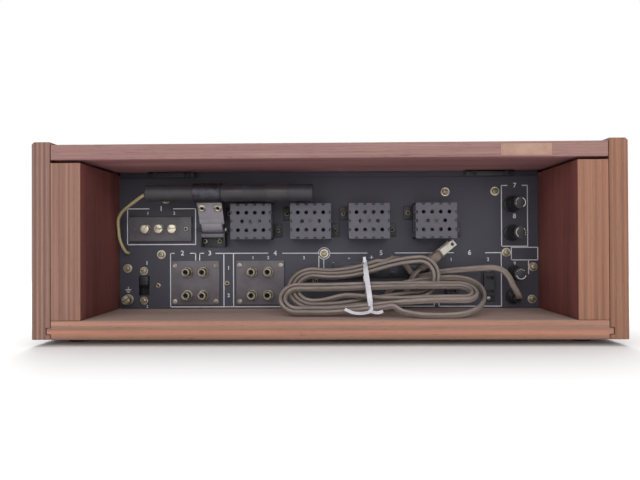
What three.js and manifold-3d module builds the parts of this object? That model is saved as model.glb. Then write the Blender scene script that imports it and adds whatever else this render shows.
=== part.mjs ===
// A stereo receiver of the early transistor age in a veneered wooden cabinet.
//
// Millimetres, +Z up. The dial side faces -Y and the rear panel faces +Y. The origin is at the middle of
// the footprint, at the level of the feet. Heights inside the groups count from the cabinet's underside.
// The front and the rear groups are both drawn as their own viewer sees them: x to the right, and the
// viewer at -y. The rear group is turned half a turn about Z, so its x runs along world -X.

import * as THREE from 'three';
import { mergeVertices } from 'three/addons/utils/BufferGeometryUtils.js';
import Module from 'manifold-3d';

const wasm = await Module();
wasm.setup();

// Shared clearances and sheet sizes
const seatGap = 0.3;
const runningGap = 0.4;
const cutOverrun = 2;
const weldDistance = 0.001;
const sheet = 1.2;

// Cabinet
const cabinetWidth = 488;
const cabinetDepth = 356;
const sideHeight = 163.5;
const sideThickness = 15.5;
const sideBevel = 2;
const topThickness = 12.7;
const topSetDown = 2.3;
const bottomThickness = 15.6;
const linerThickness = 25.2;
const linerTopGap = 2.5;
const tongueLength = 3.7;
const tongueHeight = 4.9;
const tongueDrop = 4.5;
const rearRecess = 79;
const faceplateSetback = 4;

// Feet
const footHeight = 5.5;
const footRadius = 11;
const footTaper = 1.5;
const footInsetX = 26;
const footInsetY = 32;

// Hold-down brackets under the cabinet's top, beside the rear panel's top edge
const bracketWidth = 46;
const bracketLeg = 18;
const bracketDrop = 5.4;
const bracketSheet = 1.5;
const bracketStandOff = 2;
const bracketLeftXShare = -0.76885;
const bracketRightXShare = 0.74421;
const bracketScrewRadius = 3;
const bracketScrewHeight = 1.6;
const bracketScrewSpacing = 32;

// Faceplate, its window and the row of controls
const faceplateGap = 0.8;
const faceplateThickness = 4;
const windowWidth = 220;
const windowTopMargin = 12.5;
const windowXShare = -0.10503;
const windowZShare = 0.74041;
const glassThickness = 2.6;
const shaftRadius = 3;
const shaftHoleRadius = 4.5;
const knobRowZShare = 0.20617;
const knobRadius = 12.5;
const knobSkirtRadius = 14;
const knobSkirtHeight = 3;
const knobReach = 19;
const knobLift = 1;
const knobRoof = 3;
const knobNames = ['selector', 'bass', 'treble', 'balance', 'volume'];
const knobXShares = [-0.788, -0.49, -0.254, 0.035, 0.376];
const tuningKnobRadius = 23;
const tuningKnobReach = 21;
const tuningKnobEdge = 2;
const tuningXShare = 0.73523;
const tuningZShare = 0.66516;
const buttonXShare = 0.69147;
const buttonWidth = 17;
const buttonHeight = 9;
const buttonReach = 8;
const buttonStemLength = 14;
const buttonStemWidth = 5;

// Dial works behind the faceplate
const scaleDepth = 8;
const scaleThickness = 1.5;
const scaleMargin = 7;
const scalePostRadius = 3;
const scalePostInset = 4;
const pointerDepth = 3.2;
const pointerThickness = 1.1;
const pointerWidth = 1.6;
const pointerTailDrop = 5;
const pointerCarriageWidth = 12;
const bulkheadDepth = 26;
const bulkheadTopGap = 14.6;
const bulkheadPostRadius = 4;
const bulkheadPostInset = 12;
const drumShaftGap = 1.59;
const drumRimWidth = 5;
const drumRimHeight = 3;
const drumWeb = 1.6;
const drumHubRadius = 8;
const drumDepth = 12;
const drumThickness = 7;
const drumXShare = 0.1488;
const drumZShare = 0.56734;
const rotorShaftRadius = 3;
const cordPulleyRadius = 4;
const flywheelPostGap = 3.86;
const flywheelThickness = 10;
const flywheelDepth = 10;
const bushRadius = 6;
const bushLength = 4;
const collarRadius = 5;
const collarThickness = 1.5;

// Tuning capacitor behind the bulkhead
const capacitorWidth = 50;
const capacitorLength = 46;
const capacitorHalfHeight = 24;
const capacitorEndSheet = 1.6;
const capacitorBarThickness = 2.5;
const rotorPlateRadius = 17;
const rotorPlates = 4;
const rotorPlateThickness = 1.2;
const statorInnerRadius = 5.5;
const statorOuterRadius = 19;

// Control board with its potentiometers
const controlBoardEnd = 40;
const controlBoardFloorGap = 5.6;
const controlBoardTopGap = 4;
const controlBoardThickness = 1.6;
const potRadius = 8;
const potDepth = 10;

// Chassis pan
const panGap = 0.6;
const panSheet = 1.5;
const panFlangeHeight = 62;

// Things that stand on the pan, placed as seen from behind
const transformerXShare = 0.63085;
const transformerY = 128;
const transformerWidth = 82;
const transformerDepth = 46;
const transformerHeight = 68;
const bellInset = 9;
const bellDepth = 17;
const filterCanGap = 17.5;
const filterCanY = 110;
const filterCanRadius = 17.5;
const filterCanHeight = 82;
const filterRingHeight = 5;
const filterRingWidth = 3;
const boardXShare = -0.45343;
const boardY = 96;
const boardSideGap = 15.9;
const boardDepth = 130;
const boardThickness = 1.6;
const boardPostHeight = 9;
const boardPostRadius = 3.5;
const boardPostInset = 7;
const shieldCans = 6;
const shieldCanSide = 12;
const shieldCanHeight = 18;

// Rear panel and what is riveted or bolted through it
const panelGap = 0.4;
const panelTopGap = 6;
const boltRadius = 4.1;
const boltHeight = 2.6;
const washerRadius = 4.6;
const washerThickness = 0.8;
const rivetRadius = 2.5;
const rivetHeight = 1;
const groundScrewHeight = 7;
const boltPlaceShares = [
  [-0.96, 0.309], [-0.797, 0.415], [-0.016, 0.418], [0.561, 0.884],
  [0.796, 0.887], [0.848, 0.421], [0.974, 0.311], [0.968, 0.066],
];
const groundScrewPlaceShare = [-0.958, 0.069];
const smallRivetPlaceShares = [[-0.813, 0.176], [-0.481, 0.191]];

// Perforated covers over the power transistors
const coverGap = 16.5;
const coverHeight = 33;
const coverReach = 22;
const coverSheet = 1;
const coverHoleRadius = 1.85;
const coverHoleColumns = 4;
const coverHolePitchShare = 0.2079;
const coverRowPitch = 8.1;
const coverZShare = 0.65929;
const coverXShares = [-0.3509, -0.0764, 0.1922, 0.4978];
const coverTabWidth = 9;
const coverTabHeight = 13;
const coverTabScrewDrop = 8.2;
const transistorRadius = 10;
const transistorHeight = 8;

// Antenna terminals
const antennaStripEdgeGap = 10.4;
const antennaStripZShare = 0.61028;
const antennaStripHingeGap = 10.7;
const antennaStripHeight = 23.6;
const antennaStripThickness = 3;
const antennaTerminalPitchShare = 0.21475;
const antennaWasherRadius = 4.8;
const antennaScrewHeight = 6.5;
const antennaRivetReachShare = 0.41311;
const terminalScrewRadius = 4.4;
const terminalScrewHeight = 3.4;
const terminalWasherRadius = 5.6;

// Phono jack plates
const jackPlateGap = 16.4;
const jackHingeGap = 13.2;
const jackPlateFloorGap = 1.9;
const phonoPlateXShare = -0.63184;
const tapePlateXShare = -0.32183;
const jackPitchXShare = 0.3355;
const jackPitchZShare = 0.5045;
const jackRadius = 4.1;
const jackLength = 8.4;
const jackCollarRadius = 5.4;
const jackCollarThickness = 1.4;
const jackBoreRadius = 1.6;
const jackBoreDepth = 6;
const jackRivetInset = 3.3;

// Round five-pole socket
const dinPlateGap = 6.75;
const dinZShare = 0.2087;
const dinShellRadius = 8.6;
const dinFlangeWidth = 27;
const dinFlangeHeight = 19;
const dinShellReach = 2.4;
const dinFaceDrop = 1.2;
const dinFaceRadius = 7.4;

// Speaker terminals
const speakerDinGap = 14.3;
const speakerStripZShare = 0.29091;
const speakerOutletGap = 14.8;
const speakerStripHeight = 14.6;
const speakerTerminalCount = 4;
const speakerTerminalPitchShare = 0.21957;

// Mains outlets
const outletXShares = [0.588, 0.7624];
const outletNames = ['ac_outlet_switched', 'ac_outlet_unswitched'];
const outletZShare = 0.17866;
const outletWidth = 10.4;
const outletHeight = 22.4;
const outletReach = 3;
const outletFlangeWidth = 13;
const outletFlangeHeight = 33;
const outletSlotWidth = 7.4;
const outletSlotHeight = 2.6;
const outletSlotDepth = 2.4;
const outletSlotSpacing = 12.7;
const outletRivetSpacing = 26.4;

// Fuse posts
const fuseXShare = 0.87432;
const fuseZShares = [0.7866, 0.57, 0.2656];
const fuseFlangeRadius = 7.8;
const fuseFlangeThickness = 2.4;
const fuseNeckRadius = 6.6;
const fuseNeckReach = 10;
const fuseBodyRadius = 6;
const fuseBodyDepth = 32;
const fuseBoreRadius = 4.4;
const fuseBoreEnd = 2;
const fuseCapRadius = 6.4;
const fuseCapReach = 25;
const fuseCapFaceRadius = 4.9;
const fuseCapChamfer = 1.4;
const fuseStemRadius = 4;
const fuseStemLength = 6;
const fuseRadius = 3.15;
const fuseEndGap = 3;

// Level slide switch
const levelSlotXShare = -0.88122;
const levelScrewFloorGap = 3.1;
const levelSlotWidth = 10.3;
const levelSlotHeight = 19;
const levelSliderHeight = 9.6;
const levelSliderReach = 2.6;
const levelCaseWall = 1.5;
const levelCaseDepth = 7;
const levelScrewMargin = 4.9;

// Swinging ferrite antenna
const hingeXShare = -0.5382;
const hingePlateWidth = 23.4;
const hingePlateHeight = 11;
const hingePlateZShare = 0.51383;
const hingePlateSheet = 1.5;
const hingeEarSheet = 1.3;
const hingeEarTop = 4;
const pivotZShare = 0.60237;
const pivotReach = 8;
const pinRadius = 1.6;
const pinHeadRadius = 2.6;
const pinHeadThickness = 1.4;
const pinOverhang = 6;
const armSideGap = 0.1;
const armNeckLength = 6.5;
const armSheet = 1.2;
const armLength = 39.7;
const armLeanDegrees = 33.7;
const knuckleRadius = 3.4;
const ferriteRadius = 7.7;
const ferriteLength = 152.4;
const ferriteXShare = -0.43864;
const sleeveXShare = -0.53721;
const sleeveOverhang = 0.9;
const sleeveWall = 1.2;
const tapeBandXShare = -0.22523;
const tapeBandWidth = 19;
const tapeBandThickness = 0.5;

// Mains cord: a flat twin cord, wide one way and thin the other
const cordWidth = 5.4;
const cordThickness = 2.7;
const strainXShare = 0.87827;
const strainZShare = 0.08696;
const strainRadius = 5.8;
const strainNoseRadius = 4.6;
const strainReach = 9;
const strainFlangeRadius = 7;
const strainFlangeThickness = 1.6;
const leadRadius = 2.1;
const antennaLeadRadius = 1.4;

// Hank of the mains cord
const hankLoops = 4.5;
const hankBackLoops = 2.5;
const hankRunSteps = 5;
const hankFoldSteps = 7;
const hankPitch = 4;
const hankLayerGap = 0.9;
const hankWaistXShare = 0.14786;
const hankWaistLength = 33;
const hankWaistDip = 9.5;
const hankTwistStartShare = -0.02957;
const hankTwistEndShare = 0.47314;

// Plug on the mains cord's end
const plugXShare = 0.5175;
const plugReach = 13;
const plugZShare = 0.41581;
const plugTurnDegrees = 38;
const plugRollDegrees = 90;
const plugTiltDegrees = 10;
const plugLength = 24;
const plugWidth = 18;
const plugThickness = 9;
const plugTailWidth = 9;
const bladeLength = 16.5;
const bladeWidth = 6.3;
const bladeThickness = 1.5;
const bladeSpacing = 12.7;
const bladeHoleRadius = 1.6;

// Values that follow from the sizes above
const openingWidth = cabinetWidth - 2 * (sideThickness + linerThickness);
const topUnderside = sideHeight - topSetDown - topThickness;
const openingHeight = topUnderside - bottomThickness;
const innerWidth = cabinetWidth - 2 * sideThickness;
const frontOverhang = tuningKnobReach + knobLift - faceplateSetback;
const rearEdgeY = (cabinetDepth + frontOverhang) / 2;
const frontEdgeY = rearEdgeY - cabinetDepth;
const panelY = rearEdgeY - rearRecess;
const faceplateBackY = frontEdgeY + faceplateSetback + faceplateThickness;
const panFloorZ = bottomThickness + seatGap + panSheet;
const bulkheadBack = bulkheadDepth + panSheet;
const bulkheadHeight = openingHeight - bulkheadTopGap - seatGap;
const panWidth = openingWidth - 2 * panGap;
const panelWidth = openingWidth - 2 * panelGap;
const panelBottom = bottomThickness + panelGap;
const panelHeight = topUnderside - panelTopGap - panelBottom;
const chassisDepth = panelY - sheet - seatGap - faceplateBackY;

// Places and widths across the front and across the rear panel
const acrossFront = (share) => share * innerWidth / 2;
const acrossPanel = (share) => share * panelWidth / 2;
const leastStep = (places) => Math.min(...places.slice(1).map((place, index) => place - places[index]));
const windowX = acrossFront(windowXShare);
const tuningX = acrossFront(tuningXShare);
const buttonX = acrossFront(buttonXShare);
const drumX = acrossFront(drumXShare);
const knobXs = knobXShares.map(acrossFront);
const controlBoardStart = knobXs[0] - potRadius - cutOverrun;
const controlBoardWidth = knobXs.at(-1) + controlBoardEnd - controlBoardStart;
const coverXs = coverXShares.map(acrossPanel);
const coverWidth = leastStep(coverXs) - coverGap;
const coverHolePitch = coverHolePitchShare * coverWidth;
const outletXs = outletXShares.map(acrossPanel);
const fuseX = acrossPanel(fuseXShare);
const strainX = acrossPanel(strainXShare);
const levelSlotX = acrossPanel(levelSlotXShare);
const hingeX = acrossPanel(hingeXShare);
const armWidth = hingePlateWidth - 2 * armSideGap;
const sleeveWidth = hingePlateWidth + 2 * sleeveOverhang;
const antennaStripLeft = antennaStripEdgeGap - panelWidth / 2;
const antennaStripRight = hingeX - hingePlateWidth / 2 - antennaStripHingeGap;
const antennaStripX = (antennaStripLeft + antennaStripRight) / 2;
const antennaStripWidth = antennaStripRight - antennaStripLeft;
const antennaTerminalPitch = antennaTerminalPitchShare * antennaStripWidth;
const antennaRivetReach = antennaRivetReachShare * antennaStripWidth;
const phonoPlateX = acrossPanel(phonoPlateXShare);
const tapePlateX = acrossPanel(tapePlateXShare);
const jackPlateWidth = tapePlateX - phonoPlateX - jackPlateGap;
const jackPitchX = jackPitchXShare * jackPlateWidth;
const dinX = tapePlateX + (jackPlateWidth + dinFlangeWidth) / 2 + dinPlateGap;
const speakerStripLeft = dinX + dinFlangeWidth / 2 + speakerDinGap;
const speakerStripRight = outletXs[0] - outletFlangeWidth / 2 - speakerOutletGap;
const speakerStripX = (speakerStripLeft + speakerStripRight) / 2;
const speakerStripWidth = speakerStripRight - speakerStripLeft;
const speakerTerminalPitch = speakerTerminalPitchShare * speakerStripWidth;
const sleeveX = acrossPanel(sleeveXShare);
const ferriteX = acrossPanel(ferriteXShare);
const tapeBandX = acrossPanel(tapeBandXShare);
const transformerX = acrossPanel(transformerXShare);
const filterCanX = transformerX - transformerWidth / 2 - filterCanGap - filterCanRadius;
const boardX = acrossPanel(boardXShare);
const boardWidth = panelWidth + 2 * boardX - 2 * boardSideGap;

// Places and heights up the front and up the rear panel
const upFront = (share) => bottomThickness + share * openingHeight;
const upPanel = (share) => panelBottom + share * panelHeight;
const windowZ = upFront(windowZShare);
const windowHeight = 2 * (topUnderside - windowTopMargin - windowZ);
const knobRowZ = upFront(knobRowZShare);
const tuningZ = upFront(tuningZShare);
const drumZ = upFront(drumZShare);
const leastDrumReach = Math.min(...knobXs.map((x) => Math.hypot(drumX - x, drumZ - knobRowZ)));
const drumRadius = leastDrumReach - shaftRadius - drumShaftGap;
const postX = panWidth / 2 - bulkheadPostInset;
const postZs = [bulkheadPostInset, bulkheadHeight - bulkheadPostInset].map((rise) => panFloorZ + rise);
const flywheelReach = Math.hypot(postX - tuningX, postZs[1] - tuningZ);
const flywheelRadius = flywheelReach - bulkheadPostRadius - flywheelPostGap;
const controlBoardBottom = panFloorZ + controlBoardFloorGap;
const controlBoardHeight = drumZ - capacitorHalfHeight - controlBoardTopGap - controlBoardBottom;
const fuseZs = fuseZShares.map(upPanel);
const coverZ = upPanel(coverZShare);
const antennaStripZ = upPanel(antennaStripZShare);
const outletZ = upPanel(outletZShare);
const levelScrewSpacing = levelSlotHeight + 2 * levelScrewMargin;
const levelSlotZ = panelBottom + levelScrewFloorGap + washerRadius + levelScrewSpacing / 2;
const hingePlateZ = upPanel(hingePlateZShare);
const jackPlateBottom = panelBottom + jackPlateFloorGap;
const jackPlateHeight = hingePlateZ - hingePlateHeight / 2 - jackHingeGap - jackPlateBottom;
const jackPlateZ = jackPlateBottom + jackPlateHeight / 2;
const jackPitchZ = jackPitchZShare * jackPlateHeight;
const pivotZ = upPanel(pivotZShare);

const paint = (color, roughness, metalness) =>
  new THREE.MeshStandardMaterial({ color, roughness, metalness });
const materials = {
  walnut: paint(0x5a2f22, 0.55, 0),
  ply: paint(0x7a4530, 0.7, 0),
  mahogany: paint(0x43251f, 0.6, 0),
  chassis: paint(0x9b9a94, 0.4, 0.8),
  panel: paint(0x2b2d38, 0.5, 0.2),
  cover: paint(0x57555c, 0.6, 0.3),
  blackPlastic: paint(0x17171a, 0.4, 0),
  darkPlastic: paint(0x33323a, 0.5, 0),
  strip: paint(0x4b4a50, 0.6, 0),
  bracket: paint(0x77716c, 0.45, 0.8),
  armMetal: paint(0x8d8f98, 0.4, 0.8),
  nickel: paint(0xb9b2a2, 0.3, 1),
  aluminium: paint(0xb9bbbe, 0.35, 0.9),
  glass: paint(0x11161c, 0.08, 0),
  copper: paint(0x8a4a2c, 0.4, 0.6),
  board: paint(0x9c6b33, 0.7, 0),
  ferrite: paint(0x3a3a40, 0.45, 0),
  cord: paint(0x5f544d, 0.6, 0),
  leadCord: paint(0xa39376, 0.5, 0),
  rubber: paint(0x1c1b1b, 0.9, 0),
  dial: paint(0x0f1418, 0.3, 0),
  red: paint(0xb33a22, 0.4, 0),
};

// Solids and booleans
function solidOf(geometry) {
  const plain = geometry.index ? geometry.toNonIndexed() : geometry;
  const bare = new THREE.BufferGeometry().setAttribute('position', plain.getAttribute('position'));
  const merged = mergeVertices(bare, weldDistance);
  return new wasm.Manifold(new wasm.Mesh({
    numProp: 3,
    vertProperties: merged.getAttribute('position').array,
    triVerts: new Uint32Array(merged.index.array),
  }));
}

function geometryOf(solid) {
  const { vertProperties, triVerts } = solid.getMesh();
  const geometry = new THREE.BufferGeometry();
  geometry.setAttribute('position', new THREE.BufferAttribute(new Float32Array(vertProperties), 3));
  geometry.setIndex(new THREE.BufferAttribute(new Uint32Array(triVerts), 1));
  geometry.computeVertexNormals();
  return geometry;
}

function join(geometries) {
  return geometryOf(geometries.map(solidOf).reduce((whole, next) => whole.add(next)));
}

function cut(geometry, tools) {
  return geometryOf(tools.map(solidOf).reduce((whole, tool) => whole.subtract(tool), solidOf(geometry)));
}

// Evenly spaced places about a middle, one step apart
const spread = (count) => Array.from({ length: count }, (_, index) => index - (count - 1) / 2);

// Shapes as a viewer at -y sees them. Each stands on y = 0 and reaches towards the viewer.
const block = (width, reach, height) => new THREE.BoxGeometry(width, reach, height)
  .translate(0, -reach / 2, 0);

function disc(radius, reach, sides = 12, noseRadius = radius) {
  return new THREE.CylinderGeometry(radius, noseRadius, reach, sides).translate(0, -reach / 2, 0);
}

// A cylinder along x, and one along z that stands on z = 0.
const rodX = (radius, length, sides = 12) =>
  new THREE.CylinderGeometry(radius, radius, length, sides).rotateZ(Math.PI / 2);

const postZ = (radius, height, sides = 12) =>
  new THREE.CylinderGeometry(radius, radius, height, sides).rotateX(Math.PI / 2).translate(0, 0, height / 2);

// A turned piece about the viewer's axis: profile points are [radius, reach towards the viewer].
function turned(profile, sides = 24) {
  const points = profile.map(([radius, reach]) => new THREE.Vector2(radius, reach));
  return new THREE.LatheGeometry(points, sides).rotateX(Math.PI);
}

// An outline in x and z, extruded from y = 0 towards the viewer.
function extrude(outline, reach) {
  const shape = new THREE.Shape(outline.map(([x, z]) => new THREE.Vector2(x, z)));
  return new THREE.ExtrudeGeometry(shape, { depth: reach, bevelEnabled: false }).rotateX(Math.PI / 2);
}

function addPiece(parent, name, geometry, material, [x, y, z] = [0, 0, 0]) {
  const mesh = new THREE.Mesh(geometry, material);
  mesh.name = name;
  mesh.position.set(x, y, z);
  parent.add(mesh);
  return mesh;
}

// Cabinet: sides with a groove for the bottom's tongue, top, bottom, liners, feet and brackets
function cabinetSide() {
  const half = sideThickness / 2;
  const outline = [[-half, 0], [half, 0], [half, sideHeight], [sideBevel - half, sideHeight],
    [-half, sideHeight - sideBevel]];
  const groove = block(tongueLength + cutOverrun, cabinetDepth + 2 * cutOverrun, tongueHeight + 2 * seatGap);
  groove.translate(half + cutOverrun / 2 - tongueLength / 2, cutOverrun, tongueDrop + tongueHeight / 2);
  return cut(extrude(outline, cabinetDepth), [groove]);
}

function cabinetBottom() {
  const width = innerWidth - 2 * seatGap;
  const slab = block(width, cabinetDepth, bottomThickness).translate(0, 0, bottomThickness / 2);
  const reach = 2 * (tongueLength - seatGap);
  const tongues = block(width + reach, cabinetDepth, tongueHeight)
    .translate(0, 0, tongueDrop + tongueHeight / 2);
  return join([slab, tongues]);
}

function holdDownBracket() {
  const drop = block(bracketWidth, bracketSheet, bracketDrop).translate(0, 0, -bracketDrop / 2);
  const leg = block(bracketWidth, bracketLeg, bracketSheet)
    .translate(0, bracketLeg - bracketSheet, -bracketSheet / 2);
  const screws = [-1, 1].map((side) => disc(bracketScrewRadius, bracketScrewHeight, 10)
    .translate(side * bracketScrewSpacing / 2, -bracketSheet / 2, -bracketScrewRadius));
  return join([drop, leg, ...screws]);
}

function addCabinet(parent) {
  const sideX = (cabinetWidth - sideThickness) / 2;
  addPiece(parent, 'cabinet_side_left', cabinetSide(), materials.walnut, [-sideX, rearEdgeY, 0]);
  const right = addPiece(parent, 'cabinet_side_right', cabinetSide(), materials.walnut,
    [sideX, frontEdgeY, 0]);
  right.rotation.z = Math.PI;
  const top = block(innerWidth - 2 * seatGap, cabinetDepth, topThickness);
  addPiece(parent, 'cabinet_top', top, materials.walnut, [0, rearEdgeY, topUnderside + topThickness / 2]);
  addPiece(parent, 'cabinet_bottom', cabinetBottom(), materials.ply, [0, rearEdgeY, 0]);
  const linerDepth = rearEdgeY - faceplateBackY - seatGap;
  const linerHeight = openingHeight - linerTopGap - seatGap;
  const linerX = (openingWidth + linerThickness) / 2;
  for (const [name, side] of [['side_liner_left', -1], ['side_liner_right', 1]]) {
    const liner = block(linerThickness - seatGap, linerDepth, linerHeight);
    const z = bottomThickness + seatGap + linerHeight / 2;
    addPiece(parent, name, liner, materials.mahogany, [side * (linerX - seatGap / 2), rearEdgeY, z]);
  }
  const brackets = [
    ['hold_down_bracket_left', acrossPanel(bracketLeftXShare)],
    ['hold_down_bracket_right', acrossPanel(bracketRightXShare)],
  ];
  for (const [name, x] of brackets) {
    const piece = addPiece(parent, name, holdDownBracket(), materials.bracket,
      [x, panelY + bracketStandOff, topUnderside - seatGap]);
    piece.rotation.z = Math.PI;
  }
}

function addFeet(parent) {
  const profile = [[0, 0], [footRadius - footTaper, 0], [footRadius, footHeight - seatGap],
    [0, footHeight - seatGap]];
  const points = profile.map(([radius, height]) => new THREE.Vector2(radius, height));
  const footX = cabinetWidth / 2 - footInsetX;
  const rows = [['foot_front', frontEdgeY + footInsetY], ['foot_rear', rearEdgeY - footInsetY]];
  for (const [row, y] of rows) {
    for (const [end, x] of [['left', -footX], ['right', footX]]) {
      const foot = new THREE.LatheGeometry(points, 20).rotateX(Math.PI / 2);
      addPiece(parent, `${row}_${end}`, foot, materials.rubber, [x, y, -footHeight]);
    }
  }
}

// Chassis pan with side flanges, the front bulkhead, its posts and the tuning shaft's bush
function chassisPan() {
  const floor = block(panWidth, chassisDepth - bulkheadDepth, panSheet)
    .translate(0, chassisDepth, panFloorZ - panSheet / 2);
  const flanges = [-1, 1].map((side) => block(panSheet, chassisDepth - bulkheadDepth, panFlangeHeight)
    .translate(side * (panWidth - panSheet) / 2, chassisDepth, panFloorZ - panSheet + panFlangeHeight / 2));
  const bulkhead = block(panWidth, panSheet, bulkheadHeight)
    .translate(0, bulkheadBack, panFloorZ - panSheet + bulkheadHeight / 2);
  const posts = [-1, 1].flatMap((side) => [0, 1]
    .map((high) => disc(bulkheadPostRadius, bulkheadDepth - seatGap, 10)
    .translate(side * postX, bulkheadDepth, postZs[high])));
  const bush = disc(bushRadius, bushLength).translate(tuningX, bulkheadDepth, tuningZ);
  const holes = [
    disc(shaftRadius + runningGap, bulkheadDepth + cutOverrun)
      .translate(tuningX, bulkheadBack + cutOverrun, tuningZ),
    disc(rotorShaftRadius + cutOverrun, panSheet + 2 * cutOverrun)
      .translate(drumX, bulkheadBack + cutOverrun, drumZ),
    block(buttonStemWidth + cutOverrun, panSheet + 2 * cutOverrun, buttonStemWidth + cutOverrun)
      .translate(buttonX, bulkheadBack + cutOverrun, knobRowZ),
    ...knobXs.map((x) => disc(shaftHoleRadius, panSheet + 2 * cutOverrun)
      .translate(x, bulkheadBack + cutOverrun, knobRowZ)),
  ];
  return cut(join([floor, ...flanges, bulkhead, ...posts, bush]), holes);
}

// Control board: five potentiometers, and the button's switch, with the shafts that carry the knobs
function controlBoard() {
  const front = bulkheadBack + seatGap;
  const board = block(controlBoardWidth, controlBoardThickness, controlBoardHeight)
    .translate(controlBoardStart + controlBoardWidth / 2, front + potDepth + controlBoardThickness,
      controlBoardBottom + controlBoardHeight / 2);
  const shaftTip = faceplateThickness + knobLift + knobReach - knobRoof - seatGap;
  const pots = knobXs.flatMap((x) => [
    disc(potRadius, potDepth, 10).translate(x, front + potDepth, knobRowZ),
    disc(shaftRadius, front + shaftTip, 10).translate(x, front, knobRowZ),
  ]);
  return join([board, ...pots]);
}

// Air-spaced tuning capacitor: end plates, bars and half-round stator plates above the shaft
function halfDisc(radius, thickness, innerRadius) {
  const shape = new THREE.Shape();
  shape.absarc(0, 0, radius, 0, Math.PI, false);
  shape.absarc(0, 0, innerRadius, Math.PI, 0, true);
  return new THREE.ExtrudeGeometry(shape, { depth: thickness, bevelEnabled: false, curveSegments: 6 })
    .rotateX(Math.PI / 2);
}

const platePitch = (capacitorLength - 2 * capacitorEndSheet) / (rotorPlates + 1);

function tuningCapacitor() {
  const height = 2 * capacitorHalfHeight;
  const ends = [capacitorEndSheet, capacitorLength]
    .map((y) => block(capacitorWidth, capacitorEndSheet, height).translate(0, y, 0));
  const bars = [-1, 1].map((side) => block(capacitorWidth, capacitorLength, capacitorBarThickness)
    .translate(0, capacitorLength, side * (capacitorHalfHeight - capacitorBarThickness / 2)));
  const stators = Array.from({ length: rotorPlates + 1 }, (_, index) => {
    const y = capacitorEndSheet + platePitch * (index + 1 / 2) + rotorPlateThickness / 2;
    const plate = halfDisc(statorOuterRadius, rotorPlateThickness, statorInnerRadius).translate(0, y, 0);
    const neckHeight = capacitorHalfHeight - statorOuterRadius + cutOverrun;
    const neck = block(statorOuterRadius, rotorPlateThickness, neckHeight)
      .translate(0, y, statorOuterRadius - cutOverrun + neckHeight / 2);
    return [plate, neck];
  });
  const bore = disc(rotorShaftRadius + runningGap, capacitorLength + 2 * cutOverrun)
    .translate(0, capacitorLength + cutOverrun, 0);
  return cut(join([...ends, ...bars, ...stators.flat()]), [bore]);
}

function capacitorRotor() {
  const start = drumDepth - bulkheadBack - seatGap;
  const shaft = disc(rotorShaftRadius, capacitorLength + collarThickness - start)
    .translate(0, capacitorLength + collarThickness, 0);
  const plates = Array.from({ length: rotorPlates }, (_, index) => {
    const y = capacitorEndSheet + platePitch * (index + 1) + rotorPlateThickness / 2;
    return halfDisc(rotorPlateRadius, rotorPlateThickness, rotorShaftRadius / 2).rotateY(Math.PI / 2)
      .translate(0, y, 0);
  });
  const collar = disc(collarRadius, collarThickness - seatGap)
    .translate(0, capacitorLength + collarThickness, 0);
  return join([shaft, ...plates, collar]);
}

function tuningDrum() {
  const bore = rotorShaftRadius + seatGap;
  const rimInner = drumRadius - drumRimHeight;
  const webFront = (drumThickness + drumWeb) / 2;
  const webBack = (drumThickness - drumWeb) / 2;
  return turned([
    [bore, 0], [drumHubRadius, 0], [drumHubRadius, webBack],
    [rimInner, webBack], [rimInner, webBack - drumRimWidth / 4],
    [drumRadius, webBack - drumRimWidth / 4], [drumRadius - drumRimHeight / 2, drumThickness / 2],
    [drumRadius, webFront + drumRimWidth / 4], [rimInner, webFront + drumRimWidth / 4], [rimInner, webFront],
    [drumHubRadius, webFront], [drumHubRadius, drumThickness], [bore, drumThickness], [bore, 0],
  ], 22);
}

function tuningShaft() {
  const reach = faceplateThickness + knobLift + tuningKnobReach - knobRoof - seatGap;
  const back = bulkheadBack + seatGap + collarThickness;
  const flywheelFront = flywheelDepth;
  const flywheelBack = flywheelFront + flywheelThickness;
  return join([
    disc(shaftRadius, reach + back).translate(0, back, 0),
    disc(flywheelRadius, flywheelThickness, 24).translate(0, flywheelBack, 0),
    disc(cordPulleyRadius, flywheelFront - runningGap).translate(0, flywheelFront, 0),
    disc(collarRadius, collarThickness).translate(0, back, 0),
  ]);
}

// Dial scale on posts behind the window, and the pointer that rides on its upper edge
function dialScale() {
  const width = windowWidth + 2 * scaleMargin;
  const height = windowHeight + 2 * scaleMargin;
  const plate = block(width, scaleThickness, height).translate(0, scaleDepth + scaleThickness, 0);
  const posts = [-1, 1].flatMap((side) => [-1, 1]
    .map((end) => disc(scalePostRadius, scaleDepth - seatGap, 10)
    .translate(side * (width / 2 - scalePostInset), scaleDepth, end * (height / 2 - scalePostInset))));
  return join([plate, ...posts]);
}

function dialPointer() {
  const top = windowHeight / 2 + scaleMargin + seatGap;
  const needleHeight = windowHeight + scaleMargin + pointerThickness;
  const back = scaleDepth + scaleThickness + seatGap + pointerThickness;
  const needle = block(pointerWidth, pointerThickness, needleHeight)
    .translate(0, pointerDepth + pointerThickness, top + pointerThickness - needleHeight / 2);
  const carriage = block(pointerCarriageWidth, back - pointerDepth, pointerThickness)
    .translate(0, back, top + pointerThickness / 2);
  const tail = block(pointerCarriageWidth, pointerThickness, pointerTailDrop)
    .translate(0, back, top + pointerThickness - pointerTailDrop / 2);
  return join([needle, carriage, tail]);
}

function faceplate() {
  const plate = block(innerWidth - 2 * faceplateGap, faceplateThickness, openingHeight - 2 * faceplateGap)
    .translate(0, 0, bottomThickness + openingHeight / 2);
  const through = faceplateThickness + 2 * cutOverrun;
  const holes = [
    block(windowWidth, through, windowHeight).translate(windowX, cutOverrun, windowZ),
    disc(shaftHoleRadius, through).translate(tuningX, cutOverrun, tuningZ),
    block(buttonWidth + 2 * runningGap, through, buttonHeight + 2 * runningGap)
      .translate(buttonX, cutOverrun, knobRowZ),
    ...knobXs.map((x) => disc(shaftHoleRadius, through).translate(x, cutOverrun, knobRowZ)),
  ];
  return cut(plate, holes);
}

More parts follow.
